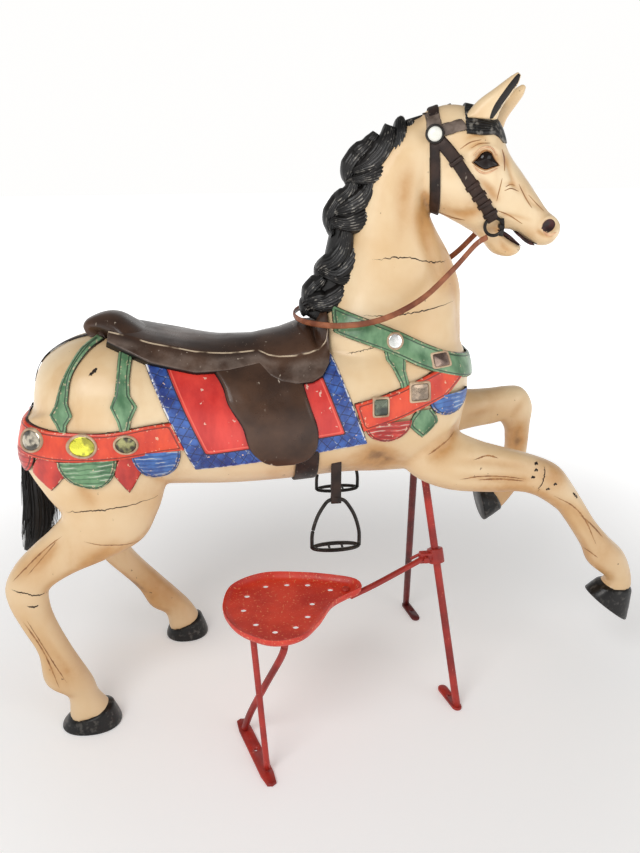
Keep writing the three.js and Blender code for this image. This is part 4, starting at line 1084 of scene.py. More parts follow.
# Green drops from the saddle to the hip strap: left and right edges of [x, z]
DROP_REAR = (
    [[-452, 868], [-482, 851], [-514, 807], [-528, 767], [-542, 743], [-530, 720], [-524, 702]],
    [[-434, 862], [-463, 846], [-492, 812], [-502, 766], [-494, 739], [-507, 720], [-510, 702]],
)
DROP_FRONT = (
    [[-404, 862], [-408, 818], [-414, 775], [-425, 753], [-413, 724], [-409, 700]],
    [[-374, 862], [-383, 807], [-384, 773], [-371, 752], [-384, 728], [-391, 700]],
)
BREAST_DROP = (
    [[108, 850], [112, 814], [124, 798], [138, 770], [144, 742]],
    [[160, 840], [154, 812], [152, 795], [158, 770], [164, 744]],
)


BARREL_RADIUS = 178.0


def height_angle(z):
    """Degrees from the top of the barrel to a height on it."""
    return math.degrees(math.acos(max(-1, min(1, (z - TORSO_AXIS_Z) / BARREL_RADIUS))))


def drop(name, edges, side, material, place, height):
    """Curved down to its barb, which is the third point from its end, and straight from there."""
    last = len(edges[0]) - 1
    left, right = (np.concatenate([smooth_line(e[:-3], 30), np.array(e[-3:], float)]) for e in edges)
    t = np.concatenate([np.linspace(0, (last - 3) / last, 30), np.arange(last - 2, last + 1) / last])
    flat = ruled(left, right, t)
    raised(f"{name}_{SIDE_NAMES[side]}", material, steps(28, 4), steps(165, 3), flat, place, height)


for side in (NEAR, FAR):
    drop("rump_drop_rear", DROP_REAR, side, STRAP_GREEN, over_barrel(side), 7)
    drop("rump_drop_front", DROP_FRONT, side, STRAP_GREEN, over_barrel(side), 7)
    drop("breast_drop", BREAST_DROP, side, STRAP_GREEN, on_flank(side), 6)

# Blanket and saddle flap hang over the barrel
BLANKET_REAR = np.array([[-366.0, 850.0], [-272.0, 607.0]])
BLANKET_FRONT = np.array([[2.0, 850.0], [75.0, 645.0]])
NO_CREASE = 99.0
FLAP_LEFT = [[-236, 830], [-212, 786], [-203, 748], [-176, 700], [-165, 655], [-140, 625], [-112, 614]]
FLAP_RIGHT = [[-55, 830], [-52, 780], [-40, 735], [-28, 690], [-28, 652], [-44, 626], [-76, 614]]


def blanket(side):
    flat = ruled(BLANKET_REAR, BLANKET_FRONT, [0.0, 1.0])
    name = f"blanket_{SIDE_NAMES[side]}"
    raised(name, BLANKET_PAINT, steps(350, 6), steps(240, 6), flat, over_barrel(side), 6, open_sides=("top",))


def saddle_flap(side):
    flat = ruled(smooth_line(FLAP_LEFT, 40), smooth_line(FLAP_RIGHT, 40), np.linspace(0, 1, 40))
    us, vs = steps(160, 6), steps(215, 6)
    shape, values = sheet(us, vs, flat, over_barrel(side), 13, open_sides=("top",), bevel=6, crown=3)
    values.update(even(shape, crease=NO_CREASE))
    carved(f"saddle_flap_{SIDE_NAMES[side]}", shape, SADDLE_PAINT, values)


for side in (NEAR, FAR):
    blanket(side)
    saddle_flap(side)

# Saddle: seat top along X, crease between seat and skirt, and the skirt's lower edge, as [x, z]
SEAT_TOP = [
    [-432, 862], [-415, 872], [-390, 874], [-345, 859], [-290, 846], [-215, 838], [-145, 840], [-85, 850],
    [-45, 864],
    [8, 876],
]
SKIRT_EDGE = [
    [-432, 852], [-420, 847], [-391, 836], [-346, 820], [-261, 806], [-193, 812], [-135, 824], [-126, 812],
    [-116, 797], [-96, 784], [-66, 778], [-35, 780], [-15, 789], [0, 810], [8, 840],
]
SEAT_BACK_X = -432.0
SEAT_FRONT_X = 8.0
SEAT_STEPS = 40
CREASE_SHARE = 0.62
SEAT_LEAST = 10.0
CREASE_RISE = 21.0
SKIRT_RISE = 19.0
SKIRT_RADIUS = 165.0
SADDLE_BEVEL = 5.0
CROWN_DEGREES = 0.5


def saddle_rise(share, seat):
    """Height above the skin, from the seat's middle over the crease to the skirt's edge."""
    if share > CREASE_SHARE:
        return SKIRT_RISE - 2.0 * (share - CREASE_SHARE) / (1 - CREASE_SHARE)
    return seat + (CREASE_RISE - seat) * min(1.0, share / CREASE_SHARE) ** 2.2


def saddle():
    rear, middle = np.arange(SEAT_BACK_X, -140, 6), np.arange(-140, -110, 2.5)
    xs = np.concatenate([rear, middle, np.arange(-110, -4, 5), [-3, 0, 3, 6, 8]])
    points, edge, crease = [], [], []
    for x in xs:
        low = height_angle(between(SKIRT_EDGE, x))
        for k in range(-SEAT_STEPS, SEAT_STEPS + 1):
            share = 1 - (1 - abs(k) / SEAT_STEPS) ** 1.25
            side = NEAR if k < 0 else FAR
            base, out = barrel(x, max(CROWN_DEGREES, low * share), side)
            crown = barrel(x, CROWN_DEGREES, side)[0][2]
            rise = saddle_rise(share, max(SEAT_LEAST, between(SEAT_TOP, x) - crown))
            gap = min((1 - share) * math.radians(low) * SKIRT_RADIUS, x - SEAT_BACK_X, SEAT_FRONT_X - x)
            if gap < SADDLE_BEVEL:
                rise *= math.sqrt(max(0.0, 1 - (1 - gap / SADDLE_BEVEL) ** 2))
            if gap < 0.3:
                rise = -3
            point = base + out * rise
            if k == 0:
                point[1] = 0.0
            points.append(point)
            edge.append(gap)
            crease.append((share - CREASE_SHARE) * math.radians(low) * SKIRT_RADIUS)
    shape = np.array(points), grid_faces(len(xs), 2 * SEAT_STEPS + 1)
    carved("saddle", shape, SADDLE_PAINT, {"edge": np.array(edge), "crease": np.array(crease)})


# Cantle: scroll behind the seat, as a closed section of [x, z], with its half-widths at the curl and the seat
CANTLE_SECTION = [
    [-322, 838], [-350, 857], [-380, 879], [-402, 893], [-422, 898], [-442, 896], [-460, 890], [-474, 882],
    [-480, 871], [-475, 861], [-464, 857], [-454, 861], [-449, 868], [-443, 872], [-436, 867], [-431, 850],
    [-427, 828], [-380, 826],
]
CURL_X = -480.0
CURL_REACH = 120.0
CURL_HALF = 20.0
CANTLE_HALF = 92.0
CANTLE_FOOT = np.array([-405.0, 846.0])
CANTLE_FALL = 34.0


def cantle():
    section = smooth_line(CANTLE_SECTION + CANTLE_SECTION[:1], 109)[:-1]
    seat_share = np.clip((section[:, 0] - CURL_X) / CURL_REACH, 0, 1)
    half = CURL_HALF + (CANTLE_HALF - CURL_HALF) * seat_share
    rings = []
    for k in np.sin(np.radians(np.linspace(-90, 90, 49))):
        shrink = 1 - 0.1 * abs(k) ** 3 - 0.3 * abs(k) ** 24
        ring = CANTLE_FOOT + (section - CANTLE_FOOT) * shrink
        fall = CANTLE_FALL * (0.15 + 0.85 * seat_share) * abs(k) ** 2.6
        rings.append(np.stack([ring[:, 0], half * k, ring[:, 1] - fall], 1))
    shape = skin_rings(np.array(rings))
    carved("cantle", shape, SADDLE_PAINT, even(shape, edge=NO_CREASE, crease=-NO_CREASE))


saddle()
cantle()

# Dark crupper strap along the spine, and the girth under the belly
CRUPPER_LENGTH = 240.0
CRUPPER_WIDTH = 16.0
CRUPPER_ROOT = np.array([-520.0, 720.0])
# Along the spine: [x, tilt in degrees]
CRUPPER_SPINE = [[-425, 0], [-480, 6], [-535, 22], [-570, 46], [-588, 70]]
GIRTH_WIDTH = 48.0
GIRTH_LENGTH = 390.0


def crupper():
    spine = smooth_line(CRUPPER_SPINE, 40)
    t = np.linspace(0, 1, 40)

    def flat(u, v):
        return CRUPPER_LENGTH * u, CRUPPER_WIDTH * (v - 0.5)

    def place(s, w):
        x, degrees = (np.interp(s / CRUPPER_LENGTH, t, spine[:, i]) for i in (0, 1))
        tilt = math.radians(degrees)
        start = np.array([max(x, CRUPPER_ROOT[0]), w, CRUPPER_ROOT[1]])
        target = np.array([x, w, CRUPPER_ROOT[1] + 120 * math.cos(tilt)])
        hit = cast(body_tree, start, target - start)
        return (target if hit is None else hit), np.array([-math.sin(tilt), 0.0, math.cos(tilt)])

    us, vs = steps(CRUPPER_LENGTH, 8), steps(CRUPPER_WIDTH, 4)
    raised("crupper", BRIDLE_LEATHER, us, vs, flat, place, 3, bevel=2)


def girth():
    def flat(u, v):
        return -72 + GIRTH_WIDTH * u, GIRTH_LENGTH * v

    def place(x, down):
        return barrel(x, 105 + down / 2.6, NEAR)

    us, vs = steps(GIRTH_WIDTH, 5), steps(GIRTH_LENGTH, 10)
    raised("girth", BRIDLE_LEATHER, us, vs, flat, place, 6, bevel=3)


crupper()
girth()

# Mane: carved locks lying on the near side of the neck, over a black crest
MANE_CREST = [
    [-36, 884, 20, 862, -4, 34], [-12, 932, 60, 915, -4, 36], [6, 990, 80, 985, -4, 34],
    [22, 1058, 90, 1048, -4, 32], [46, 1122, 110, 1100, -4, 30], [72, 1186, 130, 1150, -4, 28],
    [114, 1228, 160, 1190, -4, 26], [160, 1253, 190, 1216, -2, 18], [208, 1268, 214, 1248, 0, 7],
    [255, 1286, 258, 1272, 0, 5],
]
# Each lock: path of [x, z], half-width and number of strands
LOCKS = [
    ([[26, 908], [0, 914], [-26, 902], [-38, 880]], 22, 7),
    ([[6, 962], [-6, 946], [-22, 928], [-36, 898]], 20, 6),
    ([[74, 1000], [66, 956], [40, 926], [4, 908], [-34, 914]], 26, 9),
    ([[50, 1064], [44, 1018], [28, 992], [4, 976], [-10, 950]], 24, 8),
    ([[78, 1072], [80, 1030], [60, 992], [30, 968], [-4, 976]], 24, 8),
    ([[106, 1078], [108, 1030], [86, 988], [50, 960], [6, 966]], 26, 9),
    ([[66, 1150], [56, 1122], [36, 1100], [20, 1070], [22, 1040]], 22, 7),
    ([[98, 1152], [86, 1120], [58, 1098], [20, 1084]], 24, 8),
    ([[128, 1140], [118, 1106], [88, 1080], [50, 1066], [12, 1074]], 26, 9),
    ([[110, 1230], [92, 1206], [72, 1186], [56, 1160], [52, 1136]], 24, 8),
    ([[136, 1246], [122, 1206], [100, 1180], [62, 1164]], 26, 9),
    ([[154, 1250], [148, 1206], [126, 1170], [94, 1154], [58, 1148]], 26, 9),
    ([[172, 1252], [176, 1208], [156, 1164], [122, 1142], [78, 1138]], 24, 8),
]


def lock(points, half, strands, number):
    """Grooved lock swept along its path, narrow at both ends."""
    line = smooth_line(points, 56)
    across_count = 4 * strands + 1
    spine = np.array([wall(mane_tree, x, z, NEAR, 14)[0] for x, z in line])
    for _ in range(4):
        spine[1:-1] = (spine[:-2] + 2 * spine[1:-1] + spine[2:]) / 4
    tangent = directions(spine)
    out = np.array([0.0, NEAR, 0.0]) - tangent * (tangent @ np.array([0.0, NEAR, 0.0]))[:, None]
    out /= np.linalg.norm(out, axis=1)[:, None]
    across = np.cross(tangent, out)
    points_out, ridges = [], []
    lift = 3.0 * (number % 3)
    for i, base in enumerate(spine):
        u = i / (len(spine) - 1)
        width = half * min(1.0, 0.45 + 1.6 * u) * min(1.0, (1.04 - u) * 2.6) ** 0.8
        for j in range(across_count):
            v = 2 * j / (across_count - 1) - 1
            dome = math.sqrt(max(0.0, 1 - v * v))
            ridge = 0.5 + 0.5 * math.cos(strands * math.pi * (v + 1) + 1.2 * math.sin(2.4 * u + number))
            swell = 9 + lift + 6 * math.sin(math.pi * u)
            height = swell * dome + 2.2 * ridge * dome - 6 * (1 - dome)
            points_out.append(base + across[i] * (v * width) + out[i] * height)
            ridges.append(ridge * dome)
    return (np.array(points_out), grid_faces(len(spine), across_count)), ridges


crest_shape = skin_rings(loft(MANE_CREST, 28))
mane_tree = tree_of(*crest_shape)


def mane():
    shapes, ridges = [crest_shape], list(np.zeros(len(crest_shape[0])))
    for number, (points, half, strands) in enumerate(LOCKS):
        shape, ridge = lock(points, half, strands, number)
        shapes.append(shape)
        ridges.extend(ridge)
    carved("mane", merge(shapes), MANE_BLACK, {"ridge": np.array(ridges)})


mane()

# Hooves: coronet and sole as [frontX, frontZ, backX, backZ, y, halfWidth]
HOOVES = [
    ("hoof_hind_near", [-484, 46, -584, 18, -136, 40], [-468, 0, -600, 0, -136, 50]),
    ("hoof_hind_far", [-289, 52, -376, 18, 169, 39], [-273, 0, -382, 0, 169, 48]),
    ("hoof_fore_near", [726, 226, 643, 240, -113, 37], [722, 140, 618, 222, -113, 46]),
    ("hoof_fore_far", [475, 339, 440, 406, 112, 37], [430, 308, 406, 410, 112, 44]),
]
# From coronet to sole: [share of the way, swelling]
HOOF_SECTION = [
    (-0.12, -9), (-0.04, -4), (0.0, -1.5), (0.06, 0), (0.14, 0), (0.5, 0.5), (0.88, 0), (0.97, -1), (1.0, -3),
]
FLOOR_GAP = 0.2


def hoof(name, coronet, sole):
    coronet, sole = np.array(coronet, float), np.array(sole, float)
    rings = []
    for share, swell in HOOF_SECTION:
        row = coronet + (sole - coronet) * share
        along = np.array([row[0] - row[2], row[1] - row[3]])
        along /= np.hypot(*along)
        row[0:2] += along * swell
        row[2:4] -= along * swell
        row[5] += swell
        rings.append(row)
    c, s = oval(40, 2.2)
    shape = []
    for tx, tz, bx, bz, y, half in rings:
        x, z = (tx + bx) / 2 + s * (tx - bx) / 2, (tz + bz) / 2 + s * (tz - bz) / 2
        ring = np.stack([x, y + c * half, z], 1)
        ring[:, 2] = np.maximum(ring[:, 2], FLOOR_GAP)
        shape.append(ring)
    shape = skin_rings(np.array(shape))
    carved(name, shape, HOOF_BLACK, even(shape, ridge=0.7))


for item in HOOVES:
    hoof(*item)

# Tail: a core of dark hair with loose strands over it
TAIL = [
    [-600, 712, -580, 700, 0, 10], [-612, 685, -584, 676, 0, 15], [-626, 640, -588, 630, 0, 20],
    [-636, 560, -590, 550, 0, 24], [-641, 484, -590, 474, 0, 24], [-652, 412, -608, 402, 0, 17],
    [-660, 372, -646, 368, 0, 6],
]
TAIL_STRANDS = 150
TAIL_SEED = 7
HAIR = black_gloss("hair", 0.15, 0.45, 0.6)


def tail():
    dice = np.random.default_rng(TAIL_SEED)
    core = loft(TAIL, 24, 5)
    shapes = [skin_rings(core)]
    levels = len(core)
    for _ in range(TAIL_STRANDS):
        angle = dice.uniform(0, 2 * np.pi)
        sway = dice.uniform(-0.5, 0.5)
        spread = abs(dice.normal(0, 0.35))
        end = levels - 1 - int(abs(dice.normal(0, 4)))
        points = []
        for level in range(2, max(end, 12), 3):
            ring = core[level]
            place = (angle + sway * level / levels) / (2 * np.pi) * len(ring)
            middle = ring.mean(0)
            spot = ring[int(place) % len(ring)]
            points.append(middle + (spot - middle) * (0.95 + spread * level / levels))
        count = 3 * len(points)
        shapes.append(tube(points, np.linspace(1.5, 0.5, count), 5, count))
    shape = merge(shapes)
    build("tail_hair", shape, HAIR, ("tail",), even(shape, ridge=0.3))


tail()

# Leather headstall: centre of its loop and lean
LOOP = (224.0, 1190.0)
LOOP_LEAN = -0.06
LEATHER_RISE = 5.0
BAND_RADIUS = 62.0
BROWBAND = (228.0, 1236.0)
BROWBAND_LEAN = 1.3


def head_band(name, centre, lean, start, end, half, material):
    """Band round the head, from one angle to another, about a centre in the head's middle plane."""
    across = np.array([math.cos(lean), 0.0, -math.sin(lean)])
    up = np.array([math.sin(lean), 0.0, math.cos(lean)])
    a, b = math.radians(start) * BAND_RADIUS, math.radians(end) * BAND_RADIUS

    def flat(u, v):
        return a + (b - a) * u, half * (1 - 2 * v)

    def place(s, w):
        angle = s / BAND_RADIUS
        out = head_direction(up * math.cos(angle) + np.array([0.0, math.sin(angle), 0.0]))
        base = head_point(np.array([centre[0], 0.0, centre[1]]) + across * w)[0]
        hit = cast(head_tree, base, out)
        return (base + out * 55 if hit is None else hit), out

    us, vs = steps(abs(b - a), 6), steps(2 * half, 4)
    raised(name, material, us, vs, flat, place, LEATHER_RISE, "dark_leather", ("bridle",), bevel=2.5)


head_band("headstall", LOOP, LOOP_LEAN, -178, 178, 10, BRIDLE_LEATHER)
for side in (NEAR, FAR):
    name = f"browband_{SIDE_NAMES[side]}"
    head_band(name, BROWBAND, BROWBAND_LEAN, side * 98, side * 46, 11, SHEEN_LEATHER)

CHEEK_STRAP = [[226, 1226], [256, 1194], [286, 1154], [310, 1122], [332, 1092], [345, 1072]]


def head_strap(name, path, half, side, material, rise):
    line = smooth_line(path, 40)
    tangent = directions(line)
    t = np.linspace(0, 1, 40)

    def flat(u, v):
        x, z = (np.interp(u, t, line[:, i]) for i in (0, 1))
        a, b = (np.interp(u, t, tangent[:, i]) for i in (0, 1))
        offset = half * (1 - 2 * v)
        return x - b * offset, z + a * offset

    def place(x, z):
        return head_wall(x, z, side)

    length = np.hypot(*np.diff(line, axis=0).T).sum()
    us, vs = steps(length, 5), steps(2 * half, 4)
    name = f"{name}_{SIDE_NAMES[side]}"
    raised(name, material, us, vs, flat, place, rise, "dark_leather", ("bridle",), bevel=2.5)


CROWN_PAD = [[214, 1272], [219, 1256], [221, 1238], [222, 1226]]
# Keepers on the cheek strap, by share of its length
KEEPERS = (0.26, 0.5, 0.62, 0.72, 0.86)


def keeper(number, share, side):
    line = smooth_line(CHEEK_STRAP, 60)
    i = int(share * 59)
    middle = line[i]
    along = line[i + 1] - line[i - 1]
    along /= np.hypot(*along)
    path = [middle + np.array([-along[1], along[0]]) * w for w in (-15, -5, 5, 15)]
    head_strap(f"keeper_{number}", path, 5, side, BRIDLE_LEATHER, 9)


for side in (NEAR, FAR):
    head_strap("cheek_strap", CHEEK_STRAP, 12, side, BRIDLE_LEATHER, 5)
    head_strap("crown_pad", CROWN_PAD, 14, side, SHEEN_LEATHER, 6.5)
    for number, share in enumerate(KEEPERS):
        keeper(number, share, side)

# Rosettes: [radius, height]
ROSETTE = (222.0, 1232.0)
ROSETTE_DOME = [[0.1, 11], [5, 10.6], [10, 9], [13, 6.5], [14, 3], [14, -2]]
ROSETTE_RIM = [[13, 2], [14.2, 6], [16.4, 6.6], [18, 4.4], [18, -2]]


def lathe(profile, centre, out, ahead):
    """Turned shape of [radius, height] about the out direction."""
    c, s = around(36)
    turn = c * ahead + s * np.cross(out, ahead)
    rings = [centre + r * turn + h * out for r, h in smooth_line(profile, 5 * len(profile))]
    return skin_rings(np.array(rings), caps=False)


def rosette(side):
    base, out = head_wall(*ROSETTE, side)
    ahead = head_direction([1, 0, 0])
    centre = base + out * 8
    node = f"rosette_{SIDE_NAMES[side]}"
    build(f"{node}_dome", lathe(ROSETTE_DOME, centre, out, ahead), WHITE_ENAMEL, (node,))
    build(f"{node}_rim", lathe(ROSETTE_RIM, centre, out, ahead), BLACK_IRON, (node,))


# Bit rings, each with the end of its mouthpiece
BIT = (345.0, 1062.0)
BIT_RISE = 14.0
BIT_RADIUS = 17.0
BIT_WIRE = 3.2


def wire_ring(centre, ahead, up, radius, wire):
    c, s = around(48)
    radial = c * ahead + s * up
    c, s = around(14)
    rings = centre + radius * radial[:, None] + wire * (c * radial[:, None] + s * np.cross(ahead, up))
    return skin_rings(np.vstack([rings, rings[:1]]), caps=False)


def bit_ring(side):
    base, out = head_wall(*BIT, side)
    ahead = head_direction([1, 0, 0])
    up = np.array([0.0, 0.0, 1.0])
    centre = base + out * BIT_RISE
    shapes = [wire_ring(centre, ahead, up, BIT_RADIUS, BIT_WIRE)]
    mouth = centre + ahead * 15
    shapes.append(tube([mouth + up * 16, mouth + ahead * 2, mouth - up * 18], 4.0, 12, 24))
    shapes.append(tube([mouth - out * 12, mouth, mouth + out * 4], 6.0, 12, 16))
    node = f"bit_ring_{SIDE_NAMES[side]}"
    build(f"{node}_iron", merge(shapes), BLACK_IRON, (node,))


for side in (NEAR, FAR):
    rosette(side)
    bit_ring(side)

# Stirrup irons and their leathers
STIRRUPS = {NEAR: 14.0, FAR: 62.0}
STIRRUP_Y = 140.0
TREAD_Z = 404.0
HALF_ARCH = [[51, 404], [50, 439], [40, 476], [25, 504], [14, 515], [0, 517]]
# Tread's rim: half-length, half-width and height
TREAD_SECTION = [
    (53, 19, 2), (52, 18, 3), (45, 11, 3), (44, 10, 2), (44, 10, -2), (45, 11, -3), (52, 18, -3),
    (53, 19, -2),
    (53, 19, 2),
]
# Leather from the blanket round the iron's bar, as [y, z]
STIRRUP_BAR_Z = 516.0
BEND_RADIUS = 7.0
LEATHER_DROP = [[2.2, 625], [2.2, 570], [2.6, 530], [5.5, 522]]
# Its section: [share of the half-width, inset, share of the thickness]
LEATHER_HALF = 10.5
LEATHER_THICK = 1.6
LEATHER_SECTION = [
    (-1, 0, -0.6), (-1, 1, -1), (1, 1, -1), (1, 0, -0.6), (1, 0, 0.6), (1, 1, 1), (-1, 1, 1), (-1, 0, 0.6),
]


def stirrup(side):
    x, y = STIRRUPS[side], side * STIRRUP_Y
    line = [[-d, z] for d, z in HALF_ARCH] + [[d, z] for d, z in HALF_ARCH[-2::-1]]
    iron = [tube([[x + d, y, z] for d, z in line], 4.0, 14, 90)]
    centre = np.array([x, y, TREAD_Z])
    c, s = around(64)
    rings = [centre + np.hstack([a * c, b * s, np.full((64, 1), z)]) for a, b, z in TREAD_SECTION]
    iron.append(skin_rings(np.array(rings), caps=False))
    for d in (-14, 14):
        iron.append(tube([[x + d, y + w, TREAD_Z] for w in (-12, 0, 12)], 2.6, 10, 12))
    name = SIDE_NAMES[side]
    build(f"stirrup_{name}", merge(iron), BLACK_IRON, (f"stirrup_iron_{name}",))
    stirrup_leather(name, x, y)


def stirrup_leather(name, x, y):
    turns = np.radians(np.arange(60, 301, 30))
    bend = [[BEND_RADIUS * math.sin(t), STIRRUP_BAR_Z + BEND_RADIUS * math.cos(t)] for t in turns]
    curve = smooth_line(LEATHER_DROP + bend + [[-d, z] for d, z in LEATHER_DROP[::-1]], 120)
    normal = directions(curve)[:, ::-1] * np.array([1, -1])
    rings = []
    for (dy, z), (ny, nz) in zip(curve, normal * LEATHER_THICK):
        ring = [[w * (LEATHER_HALF - inset), dy + k * ny, z + k * nz] for w, inset, k in LEATHER_SECTION]
        rings.append(np.array([x, y, 0.0]) + ring)
    shape = skin_rings(np.array(rings))
    values = even(shape, edge=5.0)
    build(f"leather_{name}", shape, BRIDLE_LEATHER, (f"stirrup_leather_{name}",), values)


for side in (NEAR, FAR):
    stirrup(side)

# Mirror jewels in worn rims: place along the strap, height, half sizes and power of the outline
JEWELS = [
    ("jewel_oval_rear", -556, 686, 18, 20, 2.0), ("jewel_oval_middle", -478, 678, 22, 21, 2.0),
    ("jewel_oval_front", -399, 679, 21, 18, 2.0), ("jewel_round_breast", 132, 850, 15, 15, 2.0),
    ("jewel_square_breast", 223, 808, 18, 13, 8.0), ("jewel_square_chest_rear", 98, 728, 15, 18, 8.0),
    ("jewel_square_chest_front", 176, 752, 17, 18, 8.0),
]
JEWEL_RISE = 10.0
GLASS_SECTION = [[0.02, 1.8], [0.5, 1.7], [0.8, 1.2], [0.94, 0.6], [0.98, -2.0]]
RIM_SECTION = [[0.92, 0.3], [0.96, 2.0], [1.03, 2.8], [1.1, 2.0], [1.15, 0.2], [1.16, -4]]
RIM_PAINT = trim_paint("jewel_rim", srgb(150, 120, 92), srgb(216, 188, 156), 90.0, False, 1.0)


def jewel(name, s, z, half_s, half_z, power):
    c, k = oval(48, power)

    def rings(section):
        made = []
        for share, height in section:
            ring = []
            for i in range(48):
                base, out = flank(s + share * half_s * c[i], z + share * half_z * k[i], NEAR)
                ring.append(base + out * (JEWEL_RISE + height))
            made.append(ring)
        return skin_rings(np.array(made), caps=False)

    build(f"{name}_glass", rings(GLASS_SECTION), MIRRORS[name], (name,))
    shape = rings(RIM_SECTION)
    carved(f"{name}_rim", shape, RIM_PAINT, even(shape, edge=6.0))


for item in JEWELS:
    jewel(*item)

# Eyes, nostrils, lips and the lines round them
EYE_OUTLINE = [
    [295, 1182], [304, 1189], [310, 1197], [319, 1201], [329, 1198], [335, 1189], [344, 1177], [332, 1173],
    [319, 1169], [307, 1174],
]
EYE_SECTION = [[0.02, 8], [0.4, 7.4], [0.75, 5.4], [0.98, 2], [1.02, -3]]
NOSTRIL_OUTLINE = [[439, 1057], [443, 1069], [453, 1075], [464, 1073], [469, 1064], [463, 1054], [450, 1049]]
NOSTRIL_SECTION = [[0.02, 0.4], [0.5, 0.4], [0.9, 0.5], [1.0, -0.5]]
LINE_BLACK = plain("line_black", srgb(12, 8, 7), srgb(28, 20, 17), 0.5, 0.7)
PINK_RIM = plain("pink_rim", srgb(206, 156, 120), srgb(232, 192, 152), 0.4, 0.5)
UPPER_LID = [[293, 1182], [303, 1190], [310, 1199], [319, 1203], [329, 1199], [335, 1189], [346, 1176]]
# Lines round the eye and the mouth: name, path of [x, z], half-width, paint and height
EYE_LINES = [
    ("upper_lid", UPPER_LID, 1.6, CARVE_PAINT, 4),
    ("lower_lid", [[293, 1182], [307, 1173], [319, 1169], [331, 1172], [345, 1176]], 1.4, CARVE_PAINT, 3.5),
    ("lid_fold", [[296, 1194], [307, 1206], [319, 1210], [331, 1206], [340, 1194]], 2.0, PINK_RIM, 3.5),
    ("eye_rim", [[296, 1176], [308, 1166], [322, 1163], [342, 1171]], 2.2, PINK_RIM, 3.0),
]
MOUTH_LINES = [
    ("upper_lip", [[394, 1048], [410, 1035], [424, 1027], [438, 1024]], 3.6, MAROON, 0.6),
    ("lower_lip", [[358, 1052], [374, 1041], [390, 1031], [406, 1020]], 3.6, MAROON, 0.6),
    ("nostril_rim", [[444, 1052], [456, 1045], [470, 1050]], 3.0, PINK_RIM, 1.6),
]
# Carved lines of the head, painted dark as the shade in their creases: path and half-width
HEAD_LINES = [
    ([[353, 1153], [349, 1131], [346, 1111]], 1.1), ([[361, 1137], [370, 1141], [380, 1139]], 0.9),
    ([[359, 1130], [372, 1134], [388, 1128]], 1.0), ([[388, 1141], [403, 1116], [418, 1096]], 1.2),
    ([[409, 1121], [428, 1103], [444, 1089]], 0.9), ([[347, 1094], [374, 1083], [402, 1066]], 1.2),
    ([[270, 1205], [288, 1217], [309, 1222]], 1.1), ([[290, 1207], [306, 1215], [326, 1216]], 1.0),
    ([[350, 1205], [356, 1188], [357, 1166]], 1.8), ([[236, 1086], [264, 1076], [290, 1072]], 1.4),
]
LINE_ACROSS = (-1.0, -0.6, 0.0, 0.6, 1.0)
LINE_LIFT = 0.15


def head_disc(name, centre, outline, section, side, material):
    """Shape over a closed outline on the head: [share of the outline, height above the skin]."""
    rim = smooth_line(outline + outline[:1], 49)[:-1]
    made = []
    for share, height in section:
        ring = []
        for x, z in centre + (rim - centre) * share:
            base, out = head_wall(x, z, side)
            ring.append(base + out * height)
        made.append(ring)
    carved(f"{name}_{SIDE_NAMES[side]}", skin_rings(np.array(made), caps=False), material)


def head_line(name, path, half, side, material, height):
    line = smooth_line(path, 10 * len(path))
    widths = half * np.sqrt(np.clip(np.sin(np.pi * np.linspace(0.03, 0.97, len(line))), 0, 1))
    points = []
    for (x, z), (a, b), w in zip(line, directions(line), widths):
        for v in LINE_ACROSS:
            base, out = head_wall(x - b * w * v, z + a * w * v, side)
            points.append(base + out * (height * (1 - v * v) + LINE_LIFT))
    shape = np.array(points), grid_faces(len(line), len(LINE_ACROSS))
    carved(f"{name}_{SIDE_NAMES[side]}", shape, material)


for side in (NEAR, FAR):
    head_disc("eye", EYE, EYE_OUTLINE, EYE_SECTION, side, EYE_GLOSS)
    for name, path, half, material, height in EYE_LINES:
        head_line(name, path, half, side, material, height)
    head_disc("nostril", NOSTRIL, NOSTRIL_OUTLINE, NOSTRIL_SECTION, side, MAROON)
    for name, path, half, material, height in MOUTH_LINES:
        head_line(name, path, half, side, material, height)
    for number, (path, half) in enumerate(HEAD_LINES):
        head_line(f"head_line_{number}", path, half, side, CARVE_PAINT, 0.3)

# Black paint inside the ears, and the forelock's fringe
EAR_STRIPE = [[324, 1258], [334, 1278], [350, 1301], [363, 1320], [372, 1335]]
for side in (NEAR, FAR):
    head_line("ear_stripe", EAR_STRIPE, 7.5, side, LINE_BLACK, 0.6)
FORELOCK_STRANDS = 25
FORELOCK_CENTRE = (300.0, 0.0, 1190.0)
brow_tree = tree_of(*skin_rings(turned(loft(HEAD))))


def forelock():
    """Fringe combed from the browband over the forehead."""
    shapes = []
    start = head_point([FORELOCK_CENTRE])[0]
    for k in np.linspace(-1, 1, FORELOCK_STRANDS):
        reach = abs(k)
        path = [
            [282 - 6 * reach, 78 * k, 1276 - 26 * reach], [312 + 4 * reach, 74 * k, 1270 - 24 * reach],
            [342, 60 * k, 1252 - 10 * reach], [362 - 4 * reach, 42 * k, 1212 + 6 * reach],
        ]
        line = []
        for spot in head_point(smooth_line(path, 16)):
            hit = cast(brow_tree, start, spot - start)
            out = (spot - start) / np.linalg.norm(spot - start)
            line.append((spot if hit is None else hit) + out * 1.5)
        radius = 5.4 * np.sqrt(np.sin(np.pi * np.linspace(0.25, 0.97, 48)))
        shapes.append(tube(line, radius, 10, 48))
    shape = merge(shapes)
    carved("forelock", shape, MANE_BLACK, even(shape, ridge=0.7))


forelock()

